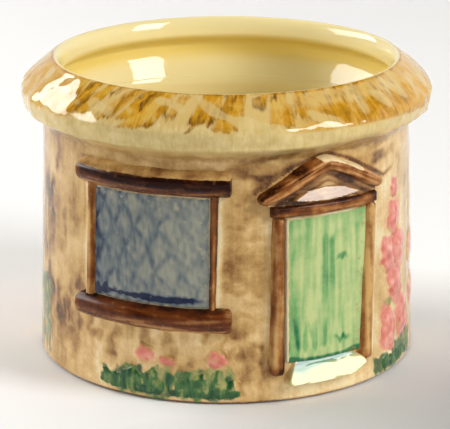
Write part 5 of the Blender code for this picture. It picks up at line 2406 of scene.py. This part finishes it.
@dataclass
class Plants(Relief):
    """What the flower bed and the tall flowers share: blooms and clumps of leaves."""

    petals: int = 5
    spread: Pair = (1.48, 1.28)
    cover: float = 1.0
    rings: int = 11
    round_points: int = 50
    LOBES = 0.07
    HEM = 1.1
    TWIST = 1.2
    DOME = 1.2
    FOLD = 0.16
    DIMPLE = Stroke(0.0, 0.35, 0.1)
    BLUSH = 2.4
    BLOOM_EDGE = Shade(1.0, 0.55, fray=0.1)
    BLOOM_BRUSH = Brush(0.58, 0.26, 0.12)
    HEART = Stroke(0.0, 0.3, 0.12)
    OWN_TONE = 0.7
    LEAF_STEP = 0.25
    LEAF_SPACING = 1.5
    FEWEST_LEAVES = 7
    STEM_JITTER = 0.02
    FAN = 0.9
    TILT = 0.35
    LEAF_LENGTHS = (0.45, 0.98)
    LEAF_WIDTHS = (1.3, 2.2)
    LEAF_RISES = (0.6, 1.0)
    LEAF_HALF = 0.55
    VEIN = Stroke(0.0, 0.4, 0.05)
    LIT = 0.15
    LIT_MIDDLE = 0.6

    def bloom(self, growth: Growth) -> None:
        """Makes a bloom of soft petals round a small hollow.

        Args:
            growth: Its measures.
        """
        rng = np.random.default_rng(growth.seed)
        around = np.arange(self.round_points) * TURN / self.round_points
        turn = rng.uniform(0, TURN)
        lobes = np.cos(self.petals * around + turn) + np.cos(2 * around + rng.uniform(0, TURN))
        lobes = 1 + self.LOBES * lobes
        share = np.append(np.linspace(0, 1, self.rings), self.HEM)[:, None]
        ring = share * lobes / lobes.max()
        wide, tall = self.spread[0] * growth.width / 2, self.spread[1] * growth.height / 2
        outline = np.stack((ring * np.cos(around) * wide, ring * np.sin(around) * tall), axis=-1)
        fold = np.cos(self.petals * around + turn + self.TWIST * share) * share
        dome = np.clip(1 - share**2, 0, 1) ** self.DOME
        rise = growth.relief * (dome * (1 + self.FOLD * fold) - self.DIMPLE(share))
        rise[-2] = 0.0
        rise[-1] = -SINK
        arc, z = growth.arc + outline[..., 0], growth.z + outline[..., 1]
        blush = Wobble(self.BLUSH, growth.seed)(WALL.place(arc, np.zeros_like(arc), z))
        cover, dabbed = GARDEN.pink(nearest(arc), z)
        own = self.cover * self.BLOOM_EDGE(share, blush)
        tone = blend(dabbed, self.BLOOM_BRUSH(blush, fold) - self.HEART(share), self.OWN_TONE * own)
        paint = np.maximum(cover, own)
        self.button(growth.node, (growth.arc, growth.z), outline, rise, Finish.BLOOM, paint=paint, tone=tone)

    def clump(self, growth: Growth) -> None:
        """Makes a clump of leaves that fan out from its foot.

        Args:
            growth: Its measures.
        """
        rng = np.random.default_rng(growth.seed)
        sheet = Sheet((growth.arc, growth.z), growth.width / 2, growth.height / 2, step=self.LEAF_STEP)
        rise = np.full_like(sheet.arc, -SINK)
        count = max(self.FEWEST_LEAVES, round(growth.width / self.LEAF_SPACING))
        for i in range(count):
            stem = (i + 0.5) / count - 0.5 + rng.normal(0, self.STEM_JITTER)
            tilt = self.FAN * stem + rng.normal(0, self.TILT)
            tall = growth.height * rng.uniform(*self.LEAF_LENGTHS)
            wide = rng.uniform(*self.LEAF_WIDTHS)
            off_x = sheet.along - stem * (growth.width - wide)
            off_y = sheet.across + (growth.height - tall) / 2
            x = off_x * math.cos(tilt) - off_y * math.sin(tilt)
            y = off_x * math.sin(tilt) + off_y * math.cos(tilt)
            off = np.hypot(x / wide, y / (tall * self.LEAF_HALF))
            leaf = growth.relief * rng.uniform(*self.LEAF_RISES) * np.clip(1 - off**2, 0, 1) - self.VEIN(x)
            rise = np.maximum(rise, np.where(off < 1, leaf, -SINK))
        cover, tone = GARDEN.green(nearest(sheet.arc), sheet.z)
        tone = tone + self.LIT * (rise / growth.relief - self.LIT_MIDDLE)
        self.patch(growth.node, sheet, rise, Finish.LEAF, paint=cover, tone=tone)


@dataclass
class FlowerBed(Plants):
    """Leaves and blooms under the window."""

    cover: float = 0.62
    shift: float = 3.6
    floor: float = 1.4
    length: float = 33.0
    height: float = 6.6
    leaf_relief: float = 0.42
    bloom_relief: float = 0.6
    leaf_seed: int = 70
    bloom_seed: int = 80
    blooms: tuple[tuple[float, ...], ...] = ((-1.0, 4.2, 4.2), (4.4, 3.8, 2.2), (14.8, 4.0, 4.2))

    def build(self) -> None:
        """Makes the bed's pieces."""
        middle = self.half.value + WINDOW_ARC
        width = (self.length - SLIP_GAP) / 2
        z = self.floor + self.height / 2
        for seed, (name, side) in enumerate((("left", -1), ("right", 1)), self.leaf_seed):
            arc = middle + self.shift + side * (width + SLIP_GAP) / 2
            self.clump(Growth(f"bed_leaves_{name}", arc, z, width, self.height, self.leaf_relief, seed))
        for i, (place, width, height) in enumerate(self.blooms, 1):
            z = self.floor + self.height + SLIP_GAP + height / 2
            size = (width, height, self.bloom_relief)
            self.bloom(Growth(f"bed_bloom_{i}", middle + place, z, *size, self.bloom_seed + i))


@dataclass
class FlowerSpray(Plants):
    """Tall flowers beside the door."""

    offset: float = 44.2
    floor: float = 1.4
    leaf_width: float = 15.0
    leaf_height: float = 4.4
    leaf_shift: float = 2.2
    leaf_relief: float = 0.5
    leaf_seed: int = 90
    bloom_seed: int = 100
    blooms: tuple[tuple[float, ...], ...] = (
        (0.9, 41.6, 3.4, 3.6, 0.5),
        (0.8, 35.6, 5.0, 7.2, 0.6),
        (-2.6, 27.2, 5.4, 7.4, 0.6),
        (3.4, 28.2, 5.8, 7.2, 0.6),
        (1.0, 20.0, 5.4, 6.6, 0.6),
        (-1.8, 10.6, 5.2, 9.6, 0.6),
        (5.2, 12.0, 6.0, 8.6, 0.6),
        (14.2, 25.5, 6.0, 7.2, 0.3),
        (14.2, 15.2, 5.6, 6.6, 0.3),
    )

    def build(self) -> None:
        """Makes the spray's pieces."""
        middle = self.half.value + self.offset
        place = (middle + self.leaf_shift, self.floor + self.leaf_height / 2)
        size = (self.leaf_width, self.leaf_height, self.leaf_relief)
        self.clump(Growth("spray_leaves", *place, *size, self.leaf_seed))
        for i, (place, *size) in enumerate(self.blooms, 1):
            self.bloom(Growth(f"spray_bloom_{i}", middle + place, *size, self.bloom_seed + i))


# Studio, in metres


@dataclass(frozen=True)
class Softbox:
    """A rectangular studio lamp that points at the bowl."""

    name: str
    azimuth: float
    elevation: float
    distance: float
    width: float
    height: float
    radiance: float
    in_gloss: bool = True

    def build(self, aim: Vector) -> None:
        """Sets the lamp up.

        Args:
            aim: The point that it faces.
        """
        lamp = bpy.data.lights.new(self.name, "AREA")
        lamp.shape = "RECTANGLE"
        lamp.size = self.width
        lamp.size_y = self.height
        lamp.energy = self.radiance * self.width * self.height * math.pi
        body = bpy.data.objects.new(self.name, lamp)
        bpy.context.scene.collection.objects.link(body)
        turn, tilt = math.radians(self.azimuth), math.radians(self.elevation)
        away = Vector((math.sin(turn) * math.cos(tilt), -math.cos(turn) * math.cos(tilt), math.sin(tilt)))
        body.location = aim + away * self.distance
        body.rotation_euler = away.to_track_quat("Z", "Y").to_euler()
        body.visible_glossy = self.in_gloss


@dataclass
class Studio:
    """Camera, lamps, pale sweep and world."""

    image_width: int = 450
    focal_pixels: float = 2277.7
    sensor: float = 36.0
    camera_place: tuple[float, float, float] = (-0.0003, -0.4957, 0.1818)
    camera_dip: float = 0.2979
    camera_near: float = 0.01
    ambient: float = 0.06
    ambient_colour: Colour = (1.0, 0.99, 0.97)
    shade_reach: Pair = (0.058, 0.12)
    shade_middle: float = -0.045
    shade_start: Pair = (0.05, -0.03)
    front_colour: Colour = (0.42, 0.41, 0.395)
    backdrop_reach: Pair = (0.6, 1.2)
    backdrop_glow: float = 0.46
    backdrop_colour: Colour = (1.0, 0.99, 0.97)
    sweep_floor: tuple[float, ...] = (0.001, 0.3, 0.6)
    sweep_radius: float = 1.3
    sweep_bend: float = 0.35
    sweep_height: float = 1.0
    aim: tuple[float, float, float] = (0.0, 0.0, 0.035)
    lamps: tuple[Softbox, ...] = (
        Softbox("left_softbox", -110.0, 27.5, 0.75, 0.62, 0.3, 7.3),
        Softbox("right_softbox", 62.0, 33.0, 0.75, 0.29, 0.38, 12.3),
        Softbox("front_fill", -12.0, 11.0, 0.9, 0.8, 0.28, 3.6, False),
        Softbox("top_fill", 170.0, 60.0, 1.00, 0.9, 0.8, 1.25, False),
    )
    SEEN_BY = ("Is Camera Ray", "Is Glossy Ray", "Is Transmission Ray")
    AROUND = 72
    BEND_STEPS = 8
    FRONT_START = 0.2
    FRONT_FALL = 4
    MOTTLE = Pattern(3.0, 2.0)
    PALE = ((0.3, (0.94, 0.93, 0.91)), (0.7, (0.97, 0.96, 0.94)))
    FLOOR_ROUGHNESS = 0.6
    FLOOR_GLOSS = 0.2

    def build(self) -> None:
        """Sets up the studio."""
        self.camera()
        self.sweep()
        self.world()
        for lamp in self.lamps:
            lamp.build(Vector(self.aim))
        bpy.context.scene.view_settings.view_transform = "Standard"

    def camera(self) -> None:
        """Sets the camera at the photograph's place."""
        lens = bpy.data.cameras.new("camera")
        lens.sensor_width = self.sensor
        lens.lens = self.focal_pixels * self.sensor / self.image_width
        lens.clip_start = self.camera_near
        body = bpy.data.objects.new("camera", lens)
        bpy.context.scene.collection.objects.link(body)
        body.location = self.camera_place
        body.rotation_euler = (math.pi / 2 - self.camera_dip, 0.0, 0.0)
        bpy.context.scene.camera = body

    def sweep(self) -> None:
        """Lays a pale floor that bends up into a backdrop on three sides."""
        bend, far = self.sweep_bend, self.sweep_radius
        profile = [(radius, 0.0) for radius in self.sweep_floor]
        for i in range(self.BEND_STEPS + 1):
            turn = i / self.BEND_STEPS * math.pi / 2
            profile.append((far - bend + bend * math.sin(turn), bend - bend * math.cos(turn)))
        profile.append((far, self.sweep_height))
        points = []
        for i in range(self.AROUND):
            turn = i / self.AROUND * TURN
            front = max(0.0, -math.cos(turn) - self.FRONT_START)
            low = 1 - min(1.0, self.FRONT_FALL * front)
            points += [(radius * math.sin(turn), radius * math.cos(turn), z * low) for radius, z in profile]
        number = np.arange(len(points)).reshape(self.AROUND, len(profile))
        after = np.roll(number, -1, axis=0)
        faces = np.stack((number[:, :-1], number[:, 1:], after[:, 1:], after[:, :-1]), axis=-1)
        mesh = bpy.data.meshes.new("sweep")
        mesh.from_pydata(points, [], faces.reshape(-1, 4).tolist())
        mesh.shade_smooth()
        mesh.materials.append(self.sweep_material())
        sweep = bpy.data.objects.new("sweep", mesh)
        bpy.context.scene.collection.objects.link(sweep)

    def sweep_material(self) -> Material:
        """Pale floor that falls off to a painted soft grey shade in front, with a far backdrop that shows
        pale.

        Returns:
            The material.
        """
        graph = Graph("pale_sweep")
        pale = graph.ramp(graph.noise(self.MOTTLE), self.PALE)
        place = graph.place(shift=(-self.shade_middle, 0.0, 0.0))
        far = graph.span(graph.length(place), *self.shade_reach, 0.0, 1.0)
        front = graph.times(far, graph.span(graph.axis(place, "Y"), *self.shade_start, 0.0, 1.0))
        path = graph.node("ShaderNodeLightPath", {})
        seen = graph.add(*(path.outputs[kind] for kind in self.SEEN_BY))
        distant = graph.span(graph.length(graph.place()), *self.backdrop_reach, 0.0, self.backdrop_glow)
        return graph.shade({
            "Base Color": graph.mix(pale, self.front_colour, front), "Roughness": self.FLOOR_ROUGHNESS,
            "Specular IOR Level": self.FLOOR_GLOSS, "Emission Color": self.backdrop_colour,
            "Emission Strength": graph.times(seen, distant),
        })

    def world(self) -> None:
        """Gives an even dim surround."""
        world = bpy.data.worlds.new("surround")
        bpy.context.scene.world = world
        world.use_nodes = True
        back = world.node_tree.nodes["Background"]
        back.inputs["Color"].default_value = (*self.ambient_colour, 1.0)
        back.inputs["Strength"].default_value = self.ambient


def main() -> None:
    """Builds the studio and every piece of the bowl."""
    logging.basicConfig(level=logging.INFO, format="%(message)s")
    Studio().build()
    palette = Palette()
    Shell().build()
    ThatchRim().build()
    for half in Half:
        for group in (Window, Door, Hood, FlowerBed, FlowerSpray):
            group(half, palette).build()


if __name__ == "__main__":
    main()
